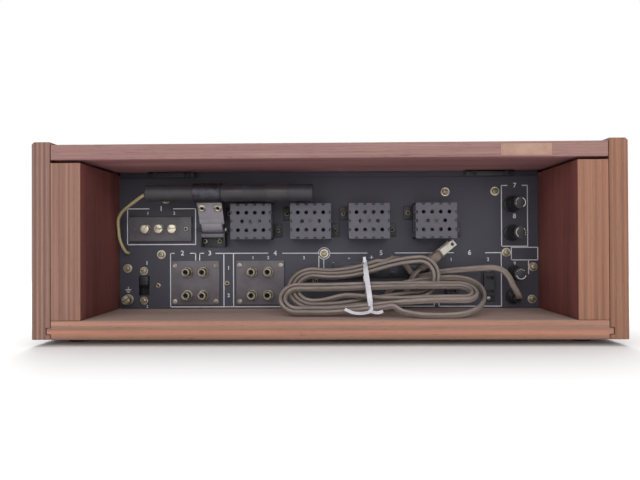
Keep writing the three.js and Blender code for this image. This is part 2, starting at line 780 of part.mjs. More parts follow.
function knob(radius, reach, skirt, skirtHeight, edge) {
  const bore = shaftRadius + seatGap;
  return turned([
    [bore, 0], [skirt, 0], [skirt, skirtHeight], [radius, skirtHeight], [radius, reach - edge],
    [radius - edge, reach], [0, reach], [0, reach - knobRoof], [bore, reach - knobRoof], [bore, 0],
  ], 18);
}

function powerButton() {
  const cap = block(buttonWidth, buttonReach + faceplateThickness, buttonHeight);
  const stem = block(buttonStemWidth, buttonStemLength, buttonStemWidth).translate(0, buttonStemLength, 0);
  return join([cap, stem.translate(0, -seatGap, 0)]);
}

function addFront(parent) {
  addPiece(parent, 'faceplate', faceplate(), materials.aluminium);
  const glass = block(windowWidth - 2 * seatGap, glassThickness, windowHeight - 2 * seatGap);
  addPiece(parent, 'dial_window', glass, materials.glass,
    [windowX, -faceplateThickness + glassThickness, windowZ]);
  addPiece(parent, 'dial_scale', dialScale(), materials.dial, [windowX, 0, windowZ]);
  addPiece(parent, 'dial_pointer', dialPointer(), materials.red, [windowX, 0, windowZ]);
  addPiece(parent, 'tuning_shaft', tuningShaft(), materials.nickel, [tuningX, 0, tuningZ]);
  const tuningKnob = knob(tuningKnobRadius, tuningKnobReach, tuningKnobRadius, knobSkirtHeight,
    tuningKnobEdge);
  addPiece(parent, 'tuning_knob', tuningKnob, materials.aluminium,
    [tuningX, -faceplateThickness - knobLift, tuningZ]);
  knobNames.forEach((name, index) => {
    const geometry = knob(knobRadius, knobReach, knobSkirtRadius, knobSkirtHeight, tuningKnobEdge / 2);
    addPiece(parent, `${name}_knob`, geometry, materials.aluminium,
      [knobXs[index], -faceplateThickness - knobLift, knobRowZ]);
  });
  addPiece(parent, 'power_button', powerButton(), materials.blackPlastic, [buttonX, 0, knobRowZ]);
  addPiece(parent, 'tuning_drum', tuningDrum(), materials.darkPlastic,
    [drumX, drumDepth + drumThickness, drumZ]);
  const capacitorY = bulkheadBack + seatGap;
  addPiece(parent, 'tuning_capacitor', tuningCapacitor(), materials.chassis, [drumX, capacitorY, drumZ]);
  addPiece(parent, 'capacitor_rotor', capacitorRotor(), materials.nickel, [drumX, capacitorY, drumZ]);
  addPiece(parent, 'control_board', controlBoard(), materials.board);
  addPiece(parent, 'chassis_pan', chassisPan(), materials.chassis);
}

// Pieces on the pan
function powerTransformer() {
  const core = block(transformerWidth, transformerDepth, transformerHeight)
    .translate(0, transformerDepth / 2, transformerHeight / 2);
  const bellY = (side) => side * (transformerDepth + bellDepth) / 2 + bellDepth / 2 - side * seatGap;
  const bells = [-1, 1].map((side) =>
    block(transformerWidth - 2 * bellInset, bellDepth, transformerHeight - 2 * bellInset)
      .translate(0, bellY(side), transformerHeight / 2));
  return join([core, ...bells]);
}

function filterCapacitor() {
  return join([
    postZ(filterCanRadius, filterCanHeight, 20),
    postZ(filterCanRadius + filterRingWidth, filterRingHeight, 20),
  ]);
}

function circuitBoard() {
  const board = block(boardWidth, boardDepth, boardThickness)
    .translate(0, boardDepth / 2, boardPostHeight + boardThickness / 2);
  const postX = boardWidth / 2 - boardPostInset;
  const postY = boardDepth / 2 - boardPostInset;
  const posts = [-1, 1].flatMap((side) => [-1, 1]
    .map((end) => postZ(boardPostRadius, boardPostHeight + boardThickness, 10)
    .translate(side * postX, end * postY, 0)));
  const canZ = boardPostHeight + boardThickness / 2 + shieldCanHeight / 2;
  const cans = spread(shieldCans).map((place, index) => block(shieldCanSide, shieldCanSide, shieldCanHeight)
    .translate(place * 2 * shieldCanSide, (index % 2 ? -1 : 1) * boardDepth / 4, canZ));
  return join([board, ...posts, ...cans]);
}

// Perforated cover: a pan of thin sheet, with holes in staggered rows and along its bends, and two tabs
function transistorCover() {
  const shell = block(coverWidth, coverReach, coverHeight);
  const hollow = block(coverWidth - 2 * coverSheet, coverReach, coverHeight - 2 * coverSheet)
    .translate(0, coverSheet, 0);
  const tabX = (coverWidth + coverTabWidth) / 2 - coverSheet;
  const tabs = [-1, 1].flatMap((side) => [
    block(coverTabWidth + coverSheet, coverSheet, coverTabHeight)
      .translate(side * tabX, 0, -side * coverTabScrewDrop),
    disc(rivetRadius, coverSheet + 2 * rivetHeight, 8)
      .translate(side * (coverWidth + coverTabWidth) / 2, 0, -side * coverTabScrewDrop),
  ]);
  const rows = [-1, 0, 1];
  const wide = spread(coverHoleColumns);
  const narrow = [-1, 0, 1];
  const faceHoles = rows.flatMap((row) => (row === 0 ? narrow : wide).map((place) =>
    disc(coverHoleRadius, 2 * cutOverrun, 6)
      .translate(place * coverHolePitch, cutOverrun - coverReach, row * coverRowPitch)));
  const bendHoles = [-1, 1].flatMap((side) => [
    ...rows.map((row) => rodX(coverHoleRadius, 2 * cutOverrun, 6)
      .translate(side * coverWidth / 2, -coverReach + coverHoleRadius / 2, row * coverRowPitch)),
    ...wide.map((place) => postZ(coverHoleRadius, 2 * cutOverrun, 6)
      .translate(place * coverHolePitch, -coverReach + coverHoleRadius / 2,
        side * coverHeight / 2 - cutOverrun)),
  ]);
  return cut(join([cut(shell, [hollow]), ...tabs]), [...faceHoles, ...bendHoles]);
}

// A bolt or screw with its washer, and a rivet head
const bolt = (radius, height) => [disc(washerRadius, washerThickness, 8), disc(radius, height, 6)];
const rivet = () => disc(rivetRadius, rivetHeight, 6, rivetRadius - rivetHeight / 2);
const placed = (geometries, x, y, z) => geometries.map((geometry) => geometry.translate(x, y, z));

const panelPlace = ([widthShare, heightShare]) =>
  [acrossPanel(widthShare), 0, upPanel(heightShare)];

function rearPanel() {
  const plate = block(panelWidth, sheet, panelHeight).translate(0, sheet, panelBottom + panelHeight / 2);
  const caseWidth = levelSlotWidth + 2 * levelCaseWall;
  const caseHeight = levelSlotHeight + 2 * levelCaseWall;
  const switchCase = cut(block(caseWidth, levelCaseDepth, caseHeight), [
    block(levelSlotWidth, levelCaseDepth, levelSlotHeight).translate(0, -levelCaseWall, 0),
  ]).translate(levelSlotX, sheet / 2 + levelCaseDepth, levelSlotZ);
  const bolts = boltPlaceShares.flatMap((shares) =>
    placed(bolt(boltRadius, boltHeight), ...panelPlace(shares)));
  const ground = placed(bolt(boltRadius, groundScrewHeight), ...panelPlace(groundScrewPlaceShare));
  const small = smallRivetPlaceShares.map((shares) => rivet().translate(...panelPlace(shares)));
  const levelScrews = [-1, 1].flatMap((side) =>
    placed(bolt(boltRadius - washerThickness, boltHeight), levelSlotX, 0,
      levelSlotZ + side * levelScrewSpacing / 2));
  const transistors = coverXs.map((x) =>
    disc(transistorRadius, transistorHeight, 10).translate(x, 0, coverZ));
  const body = join([plate, switchCase, ...bolts, ...ground, ...small, ...levelScrews, ...transistors]);
  const holes = [
    block(levelSlotWidth, sheet + cutOverrun, levelSlotHeight)
      .translate(levelSlotX, sheet + cutOverrun / 2, levelSlotZ),
    ...fuseZs.map((z) =>
      disc(fuseBodyRadius + seatGap, sheet + 2 * cutOverrun).translate(fuseX, sheet + cutOverrun, z)),
  ];
  return cut(body, holes);
}

function antennaTerminals() {
  const strip = block(antennaStripWidth, antennaStripThickness, antennaStripHeight);
  const screws = [-1, 0, 1].flatMap((index) => placed([
    disc(antennaWasherRadius, antennaStripThickness + washerThickness, 10),
    disc(terminalScrewRadius, antennaStripThickness + antennaScrewHeight, 8),
  ], index * antennaTerminalPitch, 0, 0));
  const rivets = [-1, 1].map((side) =>
    rivet().translate(side * antennaRivetReach, rivetHeight / 4 - antennaStripThickness, 0));
  return join([strip, ...screws, ...rivets]);
}

function jackPlate() {
  const plate = block(jackPlateWidth, sheet, jackPlateHeight);
  const corners = [-1, 1].flatMap((side) => [-1, 1].map((end) => [side, end]));
  const jacks = corners.flatMap(([side, end]) => placed([
    disc(jackCollarRadius, sheet + jackCollarThickness, 8),
    disc(jackRadius, sheet + jackLength, 10),
  ], side * jackPitchX / 2, 0, end * jackPitchZ / 2));
  const rivets = corners.map(([side, end]) => rivet().translate(
    side * (jackPlateWidth / 2 - jackRivetInset),
    rivetHeight / 4 - sheet,
    end * (jackPlateHeight / 2 - jackRivetInset),
  ));
  const bores = corners.map(([side, end]) => disc(jackBoreRadius, jackBoreDepth + cutOverrun, 6)
    .translate(side * jackPitchX / 2, jackBoreDepth - sheet - jackLength, end * jackPitchZ / 2));
  return cut(join([plate, ...jacks, ...rivets]), bores);
}

function dinSocket() {
  const flange = block(dinFlangeWidth, sheet, dinFlangeHeight);
  const shell = disc(dinShellRadius, sheet + dinShellReach, 24);
  const face = disc(dinFaceRadius, dinFaceDrop + cutOverrun, 24)
    .translate(0, dinFaceDrop - sheet - dinShellReach, 0);
  const rivets = [-1, 1].map((side) =>
    rivet().translate(side * (dinFlangeWidth / 2 - rivetRadius), rivetHeight / 4 - sheet, 0));
  return cut(join([flange, shell, ...rivets]), [face]);
}

function speakerTerminals() {
  const strip = block(speakerStripWidth, antennaStripThickness, speakerStripHeight);
  const screws = spread(speakerTerminalCount).flatMap((index) => placed([
    disc(terminalWasherRadius, antennaStripThickness + washerThickness, 10),
    disc(terminalScrewRadius, antennaStripThickness + terminalScrewHeight, 8),
  ], index * speakerTerminalPitch, 0, 0));
  return join([strip, ...screws]);
}

function mainsOutlet() {
  const flange = block(outletFlangeWidth, sheet, outletFlangeHeight);
  const body = block(outletWidth, sheet + outletReach, outletHeight);
  const rivets = [-1, 1].map((side) =>
    rivet().translate(0, rivetHeight / 4 - sheet, side * outletRivetSpacing / 2));
  const slots = [-1, 1].map((side) => block(outletSlotWidth, outletSlotDepth + cutOverrun, outletSlotHeight)
    .translate(0, outletSlotDepth - sheet - outletReach, side * outletSlotSpacing / 2));
  return cut(join([flange, body, ...rivets]), slots);
}

// Fuse post: the holder's flange and neck outside, its threaded body inside, and a blind bore for the fuse
function fuseHolder() {
  const depth = fuseBodyDepth;
  const boreBack = depth - fuseBoreEnd;
  return turned([
    [0, -depth], [fuseBodyRadius, -depth], [fuseBodyRadius, seatGap], [fuseFlangeRadius, seatGap],
    [fuseFlangeRadius, fuseFlangeThickness], [fuseNeckRadius, fuseFlangeThickness + fuseCapChamfer],
    [fuseNeckRadius, fuseNeckReach], [fuseBoreRadius, fuseNeckReach],
    [fuseBoreRadius, -boreBack], [0, -boreBack],
  ], 14);
}

function fuseCap() {
  const start = fuseNeckReach + seatGap;
  const stemEnd = start - fuseStemLength;
  const fuseEnd = fuseBoreEnd + fuseEndGap - fuseBodyDepth;
  const faceDrop = fuseCapChamfer / 2;
  return turned([
    [0, fuseEnd], [fuseRadius, fuseEnd], [fuseRadius, stemEnd],
    [fuseStemRadius, stemEnd], [fuseStemRadius, start], [fuseCapRadius, start],
    [fuseCapRadius, fuseCapReach - fuseCapChamfer], [fuseCapFaceRadius + faceDrop, fuseCapReach],
    [fuseCapFaceRadius, fuseCapReach - faceDrop], [0, fuseCapReach - faceDrop],
  ], 14);
}

// Level switch: a slider that fills half of its slot
function levelSlider() {
  const width = levelSlotWidth - 2 * seatGap;
  const depth = levelCaseDepth - levelCaseWall + sheet / 2 - seatGap;
  return block(width, levelSliderReach + depth, levelSliderHeight - seatGap).translate(0, depth, 0);
}

// Antenna hinge: a plate on the panel with two ears and the pin, then the arm and the ferrite rod
const earInner = hingePlateWidth / 2 - hingeEarSheet;
const knuckleWidth = 2 * (earInner - runningGap);

function antennaHinge() {
  const plate = block(hingePlateWidth, hingePlateSheet, hingePlateHeight)
    .translate(0, 0, hingePlateZ - pivotZ);
  const rise = pivotZ - hingePlateZ + hingeEarTop;
  const ears = [-1, 1].map((side) => block(hingeEarSheet, pivotReach + knuckleRadius, rise)
    .translate(side * (earInner + hingeEarSheet / 2), 0, rise / 2 + hingePlateZ - pivotZ));
  const pinLength = hingePlateWidth + pinOverhang;
  const pin = rodX(pinRadius, pinLength, 10).translate(-pinOverhang / 2, -pivotReach, 0);
  const head = rodX(pinHeadRadius, pinHeadThickness, 10)
    .translate((hingePlateWidth + pinHeadThickness) / 2, -pivotReach, 0);
  const screws = [-1, 1].map((side) => disc(rivetRadius, hingePlateSheet + rivetHeight, 8)
    .translate(side * hingePlateWidth / 3, 0, hingePlateZ - pivotZ));
  return join([plate, ...ears, pin, head, ...screws]);
}

function antennaArm() {
  const sleeveOuter = ferriteRadius + seatGap + sleeveWall;
  const plateTop = armLength - ferriteRadius - seatGap - sleeveWall / 2;
  const plateHeight = plateTop - armNeckLength;
  const plate = block(armWidth, armSheet, plateHeight)
    .translate(0, armSheet / 2, armNeckLength + plateHeight / 2);
  const neck = block(knuckleWidth, armSheet, plateTop).translate(0, armSheet / 2, plateTop / 2);
  const knuckle = rodX(knuckleRadius, knuckleWidth, 12);
  const sleeve = rodX(sleeveOuter, sleeveWidth, 20).translate(sleeveX - hingeX, 0, armLength);
  const bores = [
    rodX(pinRadius + seatGap, armWidth + 2 * cutOverrun, 12),
    rodX(ferriteRadius + seatGap, sleeveWidth + 2 * cutOverrun, 20)
      .translate(sleeveX - hingeX, 0, armLength),
  ];
  return cut(join([plate, neck, knuckle, sleeve]), bores);
}

function ferriteAntenna() {
  const rod = rodX(ferriteRadius, ferriteLength, 20);
  const band = rodX(ferriteRadius + tapeBandThickness, tapeBandWidth, 20)
    .translate(tapeBandX - ferriteX, 0, 0);
  return join([rod, band]);
}

function addAntenna(parent) {
  addPiece(parent, 'antenna_hinge', antennaHinge(), materials.bracket, [hingeX, -seatGap, pivotZ]);
  const swing = new THREE.Group();
  swing.position.set(hingeX, -seatGap - pivotReach, pivotZ);
  swing.rotation.x = THREE.MathUtils.degToRad(armLeanDegrees);
  parent.add(swing);
  addPiece(swing, 'antenna_arm', antennaArm(), materials.armMetal);
  addPiece(swing, 'ferrite_antenna', ferriteAntenna(), materials.ferrite,
    [ferriteX - hingeX, 0, armLength]);
}

// Cord routes as seen from behind: [share of half the panel width, reach to the viewer, share of its height]
const viewPoint = ([x, reach, z]) => new THREE.Vector3(x, -reach, z);
const routePoint = ([across, reach, up]) => viewPoint([acrossPanel(across), reach, upPanel(up)]);

function tube(points, radius, sides, steps) {
  const shape = new THREE.Shape(Array.from({ length: sides }, (_, index) => {
    const turn = 2 * Math.PI * index / sides;
    return new THREE.Vector2(radius * Math.cos(turn), radius * Math.sin(turn));
  }));
  const extrudePath = new THREE.CatmullRomCurve3(points, false, 'centripetal');
  return new THREE.ExtrudeGeometry(shape, { steps, extrudePath, bevelEnabled: false });
}

const antennaLeadRoute = [
  [-0.8181, 30.4, 0.8585], [-0.8403, 29, 0.8419], [-0.8871, 24.5, 0.8008], [-0.9340, 19, 0.7589],
  [-0.9660, 14.5, 0.7217], [-0.9818, 12, 0.6798], [-0.9847, 10, 0.6087], [-0.9828, 8, 0.5336],
  [-0.9729, 6.8, 0.4806], [-0.9601, 5.4, 0.4411], [-0.9552, 4, 0.4300], [-0.9542, 0.4, 0.4285],
];

// The hank lies on two twisted sheets. A sheet gives the place of a point from its right-hand distance u,
// its rise b up the sheet and its offset n along the sheet's normal.
const hankLeft = { reach: 56, z: 18.4, lean: 46 };
const hankSheets = {
  back: { reach: 39, z: 23, lean: 84 },
  front: { reach: 66, z: 26.5, lean: 27 },
};
const hankBelts = {
  back: {
    leftXShare: -0.0591, leftRise: 30, leftRadius: 24,
    rightXShare: 0.4041, rightRise: 27, rightRadius: 21,
    dip: hankWaistDip,
  },
  front: {
    leftXShare: -0.1281, leftRise: 14, leftRadius: 16,
    rightXShare: 0.5668, rightRise: 15, rightRadius: 16,
    dip: 0,
  },
};
const hankNormal = cordWidth / 2 + hankLayerGap / 2;

function sheetFrame(layer, u) {
  const share = THREE.MathUtils.smoothstep(u, acrossPanel(hankTwistStartShare),
    acrossPanel(hankTwistEndShare));
  const right = hankSheets[layer];
  const lean = THREE.MathUtils.degToRad(THREE.MathUtils.lerp(hankLeft.lean, right.lean, share));
  return {
    reach: THREE.MathUtils.lerp(hankLeft.reach, right.reach, share),
    z: THREE.MathUtils.lerp(hankLeft.z, right.z, share),
    along: [-Math.cos(lean), Math.sin(lean)],
    normal: [Math.sin(lean), Math.cos(lean)],
  };
}

function sheetPoint(layer, u, rise, offset) {
  const { reach, z, along, normal } = sheetFrame(layer, u);
  return viewPoint([u, reach + rise * along[0] + offset * normal[0],
    z + rise * along[1] + offset * normal[1]]);
}

// One belt of a loop: turn 0 is the middle of its upper run, and the turn goes left, down and back.
function beltPoint(layer, inward, turn) {
  const { leftXShare, leftRise, leftRadius, rightXShare, rightRise, rightRadius, dip } = hankBelts[layer];
  const [leftX, rightX] = [leftXShare, rightXShare].map(acrossPanel);
  const runShare = hankRunSteps / (2 * (hankRunSteps + hankFoldSteps));
  const foldShare = hankFoldSteps / (2 * (hankRunSteps + hankFoldSteps));
  const phase = turn - Math.floor(turn);
  const corners = [runShare / 2, runShare / 2 + foldShare, 3 * runShare / 2 + foldShare,
    3 * runShare / 2 + 2 * foldShare];
  const leftRun = leftRadius - inward;
  const rightRun = rightRadius - inward;
  let u;
  let rise;
  if (phase >= corners[0] && phase <= corners[1]) {
    const angle = Math.PI / 2 + Math.PI * (phase - corners[0]) / foldShare;
    u = leftX + leftRun * Math.cos(angle);
    rise = leftRise + leftRun * Math.sin(angle);
  } else if (phase > corners[1] && phase < corners[2]) {
    const share = (phase - corners[1]) / runShare;
    u = THREE.MathUtils.lerp(leftX, rightX, share);
    rise = THREE.MathUtils.lerp(leftRise - leftRun, rightRise - rightRun, share);
  } else if (phase >= corners[2] && phase <= corners[3]) {
    const angle = -Math.PI / 2 + Math.PI * (phase - corners[2]) / foldShare;
    u = rightX + rightRun * Math.cos(angle);
    rise = rightRise + rightRun * Math.sin(angle);
  } else {
    const share = phase > corners[3] ? (phase - corners[3]) / runShare : (phase + 1 - corners[3]) / runShare;
    u = THREE.MathUtils.lerp(rightX, leftX, share);
    rise = THREE.MathUtils.lerp(rightRise + rightRun, leftRise + leftRun, share);
  }
  const middle = THREE.MathUtils.mapLinear(u, leftX, rightX, leftRise, rightRise);
  const upper = THREE.MathUtils.clamp((rise - middle) / (leftRadius / 3), 0, 1);
  return [u, rise - dip * upper * Math.exp(-(((u - acrossPanel(hankWaistXShare)) / hankWaistLength) ** 2))];
}

// The back sheet spirals in, the strand climbs along a lower run, and the front sheet spirals out.
function hankSample(turn) {
  const frontLoops = hankLoops - hankBackLoops;
  const climbRun = hankRunSteps / (2 * (hankRunSteps + hankFoldSteps));
  const backInward = hankPitch * Math.min(turn, hankBackLoops);
  const frontInward = hankPitch * (frontLoops - Math.max(turn - hankBackLoops, 0));
  const [backU, backRise] = beltPoint('back', backInward, turn);
  const [frontU, frontRise] = beltPoint('front', frontInward, turn);
  const climb = THREE.MathUtils.smoothstep(turn, hankBackLoops - climbRun / 2, hankBackLoops - climbRun / 6);
  const shift = THREE.MathUtils.smoothstep(turn, hankBackLoops - climbRun / 4, hankBackLoops + climbRun / 5);
  const back = sheetPoint('back', backU, backRise, hankNormal * (2 * climb - 1));
  const front = sheetPoint('front', frontU, frontRise, hankNormal * (2 * climb - 1));
  const { normal: backNormal } = sheetFrame('back', backU);
  const { normal: frontNormal } = sheetFrame('front', frontU);
  const point = back.lerp(front, shift);
  const normal = viewPoint([0, ...backNormal]).lerp(viewPoint([0, ...frontNormal]), shift).normalize();
  return { point, normal };
}

// Each end runs on straight for one cord width, towards where the next step of the hank would be.
function straightEnd({ point, normal }, next) {
  const away = next.point.clone().sub(point).setLength(cordWidth);
  return { point: point.clone().add(away), normal };
}

function hankSamples() {
  const steps = Math.round(hankLoops * 2 * (hankRunSteps + hankFoldSteps));
  const step = hankLoops / steps;
  const samples = Array.from({ length: steps + 1 }, (_, index) => hankSample(index * step));
  const first = straightEnd(samples[0], hankSample(-step));
  const last = straightEnd(samples[steps], hankSample(hankLoops + step));
  return [first, ...samples, last];
}

// A flat six-sided tube, wide along the samples' normals, with square ends.
function flatTube(samples) {
  const positions = [];
  const ring = [[0, 1], [1, 1 / 2], [1, -1 / 2], [0, -1], [-1, -1 / 2], [-1, 1 / 2]];
  const sides = ring.length;
  samples.forEach(({ point, normal }, index) => {
    const before = samples[Math.max(index - 1, 0)].point;
    const after = samples[Math.min(index + 1, samples.length - 1)].point;
    const tangent = after.clone().sub(before).normalize();
    const side = tangent.clone().cross(normal).normalize();
    const wide = side.clone().cross(tangent);
    for (const [across, along] of ring) {
      const vertex = point.clone()
        .addScaledVector(side, across * cordThickness / 2)
        .addScaledVector(wide, along * cordWidth / 2);
      positions.push(vertex.x, vertex.y, vertex.z);
    }
  });
  const index = [];
  const rings = samples.length;
  for (let r = 0; r < rings - 1; r += 1) {
    for (let s = 0; s < sides; s += 1) {
      const next = (s + 1) % sides;
      const [a, b, c, d] = [r * sides + s, r * sides + next, (r + 1) * sides + next, (r + 1) * sides + s];
      index.push(a, b, c, a, c, d);
    }
  }
  for (let s = 1; s < sides - 1; s += 1) {
    index.push(0, s + 1, s);
    const last = (rings - 1) * sides;
    index.push(last, last + s, last + s + 1);
  }
  const geometry = new THREE.BufferGeometry();
  geometry.setAttribute('position', new THREE.Float32BufferAttribute(positions, 3));
  geometry.setIndex(index);
  geometry.computeVertexNormals();
  return geometry;
}

// The least gap of the hank to itself: strands are compared between samples more than a fold apart,
// with the cord's thickness across the strands and its width along the sheet's normal.
function leastHankGap(samples) {
  let least = Infinity;
  const apart = hankFoldSteps;
  samples.forEach((one, i) => {
    samples.forEach((other, j) => {
      if (j < i + apart || j + 1 >= samples.length) return;
      const from = other.point;
      const along = samples[j + 1].point.clone().sub(from);
      const share = THREE.MathUtils.clamp(one.point.clone().sub(from).dot(along) / along.lengthSq(), 0, 1);
      const offset = one.point.clone().sub(from).addScaledVector(along, -share);
      const acrossSheets = Math.abs(offset.dot(one.normal));
      const inSheet = Math.sqrt(Math.max(offset.lengthSq() - acrossSheets ** 2, 0));
      least = Math.min(least, Math.max(inSheet - cordThickness, acrossSheets - cordWidth));
    });
  });
  return least;
}

const leadRoute = [
  [0.8783, 9.6, 0.0870], [0.8783, 15.5, 0.0877], [0.8724, 20.4, 0.0980], [0.8576, 23.6, 0.1304],
  [0.8359, 25, 0.1858], [0.8181, 25.4, 0.2451], [0.7910, 25.4, 0.2925], [0.7491, 24.6, 0.3130],
  [0.6900, 23, 0.3099], [0.6259, 21, 0.3004], [0.5619, 18.4, 0.2893], [0.5126, 15.6, 0.2783],
  [0.4682, 12.8, 0.2577], [0.4263, 10.8, 0.2466], [0.3918, 10.4, 0.2735], [0.3672, 12.4, 0.3241],
  [0.3381, 17, 0.3684], [0.2982, 22.4, 0.3794], [0.2563, 25.6, 0.3605],
];

const tailRoute = [
  [0.3056, 66.4, 0.0443], [0.3647, 68.4, 0.0253], [0.4288, 69.4, 0.0174], [0.4929, 69.2, 0.0174],
  [0.5569, 67.4, 0.0237], [0.6161, 62.6, 0.0474], [0.6585, 54.4, 0.0885], [0.6782, 44.4, 0.1391],
  [0.6703, 35, 0.1897], [0.6358, 28.6, 0.2261], [0.5816, 25, 0.2419], [0.5175, 23, 0.2387],
  [0.4534, 22, 0.2277], [0.3894, 21.2, 0.2134], [0.3253, 20, 0.1866], [0.2809, 18, 0.1407],
  [0.2711, 15.4, 0.0838], [0.3006, 13.6, 0.0506], [0.3401, 13, 0.0711], [0.3647, 13.2, 0.1312],
  [0.3795, 14.6, 0.1976],
];

function powerPlug() {
  const half = plugWidth / 2;
  const tail = plugTailWidth / 2;
  const outline = [[-tail, -plugLength], [tail, -plugLength], [half, -plugLength / 2], [half, 0],
    [-half, 0], [-half, -plugLength / 2]];
  const body = extrude(outline, plugThickness).translate(0, plugThickness / 2, 0);
  const blades = [-1, 1].map((side) => block(bladeThickness, bladeWidth, bladeLength + cutOverrun)
    .translate(side * bladeSpacing / 2, bladeWidth / 2, (bladeLength - cutOverrun) / 2));
  const holes = [-1, 1].map((side) => rodX(bladeHoleRadius, 2 * cutOverrun, 8)
    .translate(side * bladeSpacing / 2, 0, bladeLength - bladeWidth / 2));
  return cut(join([body, ...blades]), holes);
}

function strainRelief() {
  return join([
    disc(strainFlangeRadius, strainFlangeThickness, 12),
    disc(strainRadius, strainReach, 6, strainNoseRadius),
  ]);
}

function addCord(parent) {
  addPiece(parent, 'strain_relief', strainRelief(), materials.blackPlastic,
    [strainX, -seatGap, upPanel(strainZShare)]);
  const samples = hankSamples();
  console.log(`least gap of the hank to itself: ${leastHankGap(samples).toFixed(2)} mm`);
  addPiece(parent, 'power_cord_hank', flatTube(samples), materials.cord);
  const direction = (from, to) => to.clone().sub(from).normalize();
  const start = samples[0].point.clone();
  const startAway = direction(samples[1].point, start);
  const end = samples[samples.length - 1].point.clone();
  const endAway = direction(samples[samples.length - 2].point, end);
  const leadEnd = [cordWidth, seatGap].map((distance) => start.clone().addScaledVector(startAway, distance));
  addPiece(parent, 'power_cord_lead', tube([...leadRoute.map(routePoint), ...leadEnd], leadRadius, 8, 26),
    materials.cord);
  const tailStart = [seatGap, cordWidth].map((distance) => end.clone().addScaledVector(endAway, distance));
  const plugTurn = new THREE.Group();
  plugTurn.position.copy(routePoint([plugXShare, plugReach, plugZShare]));
  plugTurn.rotation.order = 'ZYX';
  plugTurn.rotation.set(
    THREE.MathUtils.degToRad(-plugTiltDegrees),
    THREE.MathUtils.degToRad(90 - plugTurnDegrees),
    0,
  );
  parent.add(plugTurn);
  const plug = addPiece(plugTurn, 'power_plug', powerPlug(), materials.blackPlastic);
  plug.rotation.z = THREE.MathUtils.degToRad(plugRollDegrees);
  plugTurn.updateMatrix();
  const rear = (distance) => new THREE.Vector3(0, 0, -plugLength - distance).applyMatrix4(plugTurn.matrix);
  const tailEnd = [cordWidth, seatGap].map(rear);
  addPiece(parent, 'power_cord_tail',
    tube([...tailStart, ...tailRoute.map(routePoint), ...tailEnd], leadRadius, 8, 40), materials.cord);
}

function addRear(parent) {
  addPiece(parent, 'rear_panel', rearPanel(), materials.panel);
  coverXs.forEach((x, index) => {
    addPiece(parent, `transistor_cover_${index + 1}`, transistorCover(), materials.cover,
      [x, -seatGap, coverZ]);
  });
  addPiece(parent, 'antenna_terminals', antennaTerminals(), materials.strip,
    [antennaStripX, -seatGap, antennaStripZ]);
  addPiece(parent, 'phono_jacks', jackPlate(), materials.darkPlastic,
    [phonoPlateX, -seatGap, jackPlateZ]);
  addPiece(parent, 'tape_jacks', jackPlate(), materials.darkPlastic,
    [tapePlateX, -seatGap, jackPlateZ]);
  addPiece(parent, 'din_socket', dinSocket(), materials.darkPlastic,
    [dinX, -seatGap, upPanel(dinZShare)]);
  addPiece(parent, 'speaker_terminals', speakerTerminals(), materials.strip,
    [speakerStripX, -seatGap, upPanel(speakerStripZShare)]);
  outletNames.forEach((name, index) => {
    addPiece(parent, name, mainsOutlet(), materials.blackPlastic, [outletXs[index], -seatGap, outletZ]);
  });
  fuseZs.forEach((z, index) => {
    addPiece(parent, `fuse_holder_${index + 1}`, fuseHolder(), materials.blackPlastic, [fuseX, 0, z]);
    addPiece(parent, `fuse_cap_${index + 1}`, fuseCap(), materials.blackPlastic, [fuseX, 0, z]);
  });
  const sliderZ = levelSlotZ + (levelSlotHeight - levelSliderHeight) / 2;
  addPiece(parent, 'level_switch_slider', levelSlider(), materials.blackPlastic, [levelSlotX, 0, sliderZ]);
  const standing = [
    ['power_transformer', powerTransformer(), materials.darkPlastic,
      transformerX, transformerY],
    ['filter_capacitor', filterCapacitor(), materials.aluminium, filterCanX, filterCanY],
    ['circuit_board', circuitBoard(), materials.board, boardX, boardY],
  ];
  for (const [name, geometry, material, x, y] of standing) {
    addPiece(parent, name, geometry, material, [x, y, panFloorZ + seatGap]);
  }
  addAntenna(parent);
  addPiece(parent, 'antenna_lead', tube(antennaLeadRoute.map(routePoint), antennaLeadRadius, 8, 18),
    materials.leadCord);
  addCord(parent);
}

const receiver = new THREE.Group();
const lifted = new THREE.Group();
lifted.position.z = footHeight;
receiver.add(lifted);
addCabinet(lifted);
addFeet(lifted);
const front = new THREE.Group();
front.position.y = faceplateBackY;
lifted.add(front);
addFront(front);
const rear = new THREE.Group();
rear.position.y = panelY;
rear.rotation.z = Math.PI;
lifted.add(rear);
addRear(rear);

export default receiver;
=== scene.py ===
# %% [markdown]
# # A stereo receiver, seen from behind
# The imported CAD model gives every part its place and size. This lesson dresses it: each piece
# gets the detail that the real one shows, and a finish made of shader nodes. Everything is in
# metres in the model's own frame, so a piece goes where the model says, with no fitting.

# %% Load the frame
import math

import bmesh
import bpy
import mathutils
from mathutils import Matrix, Vector


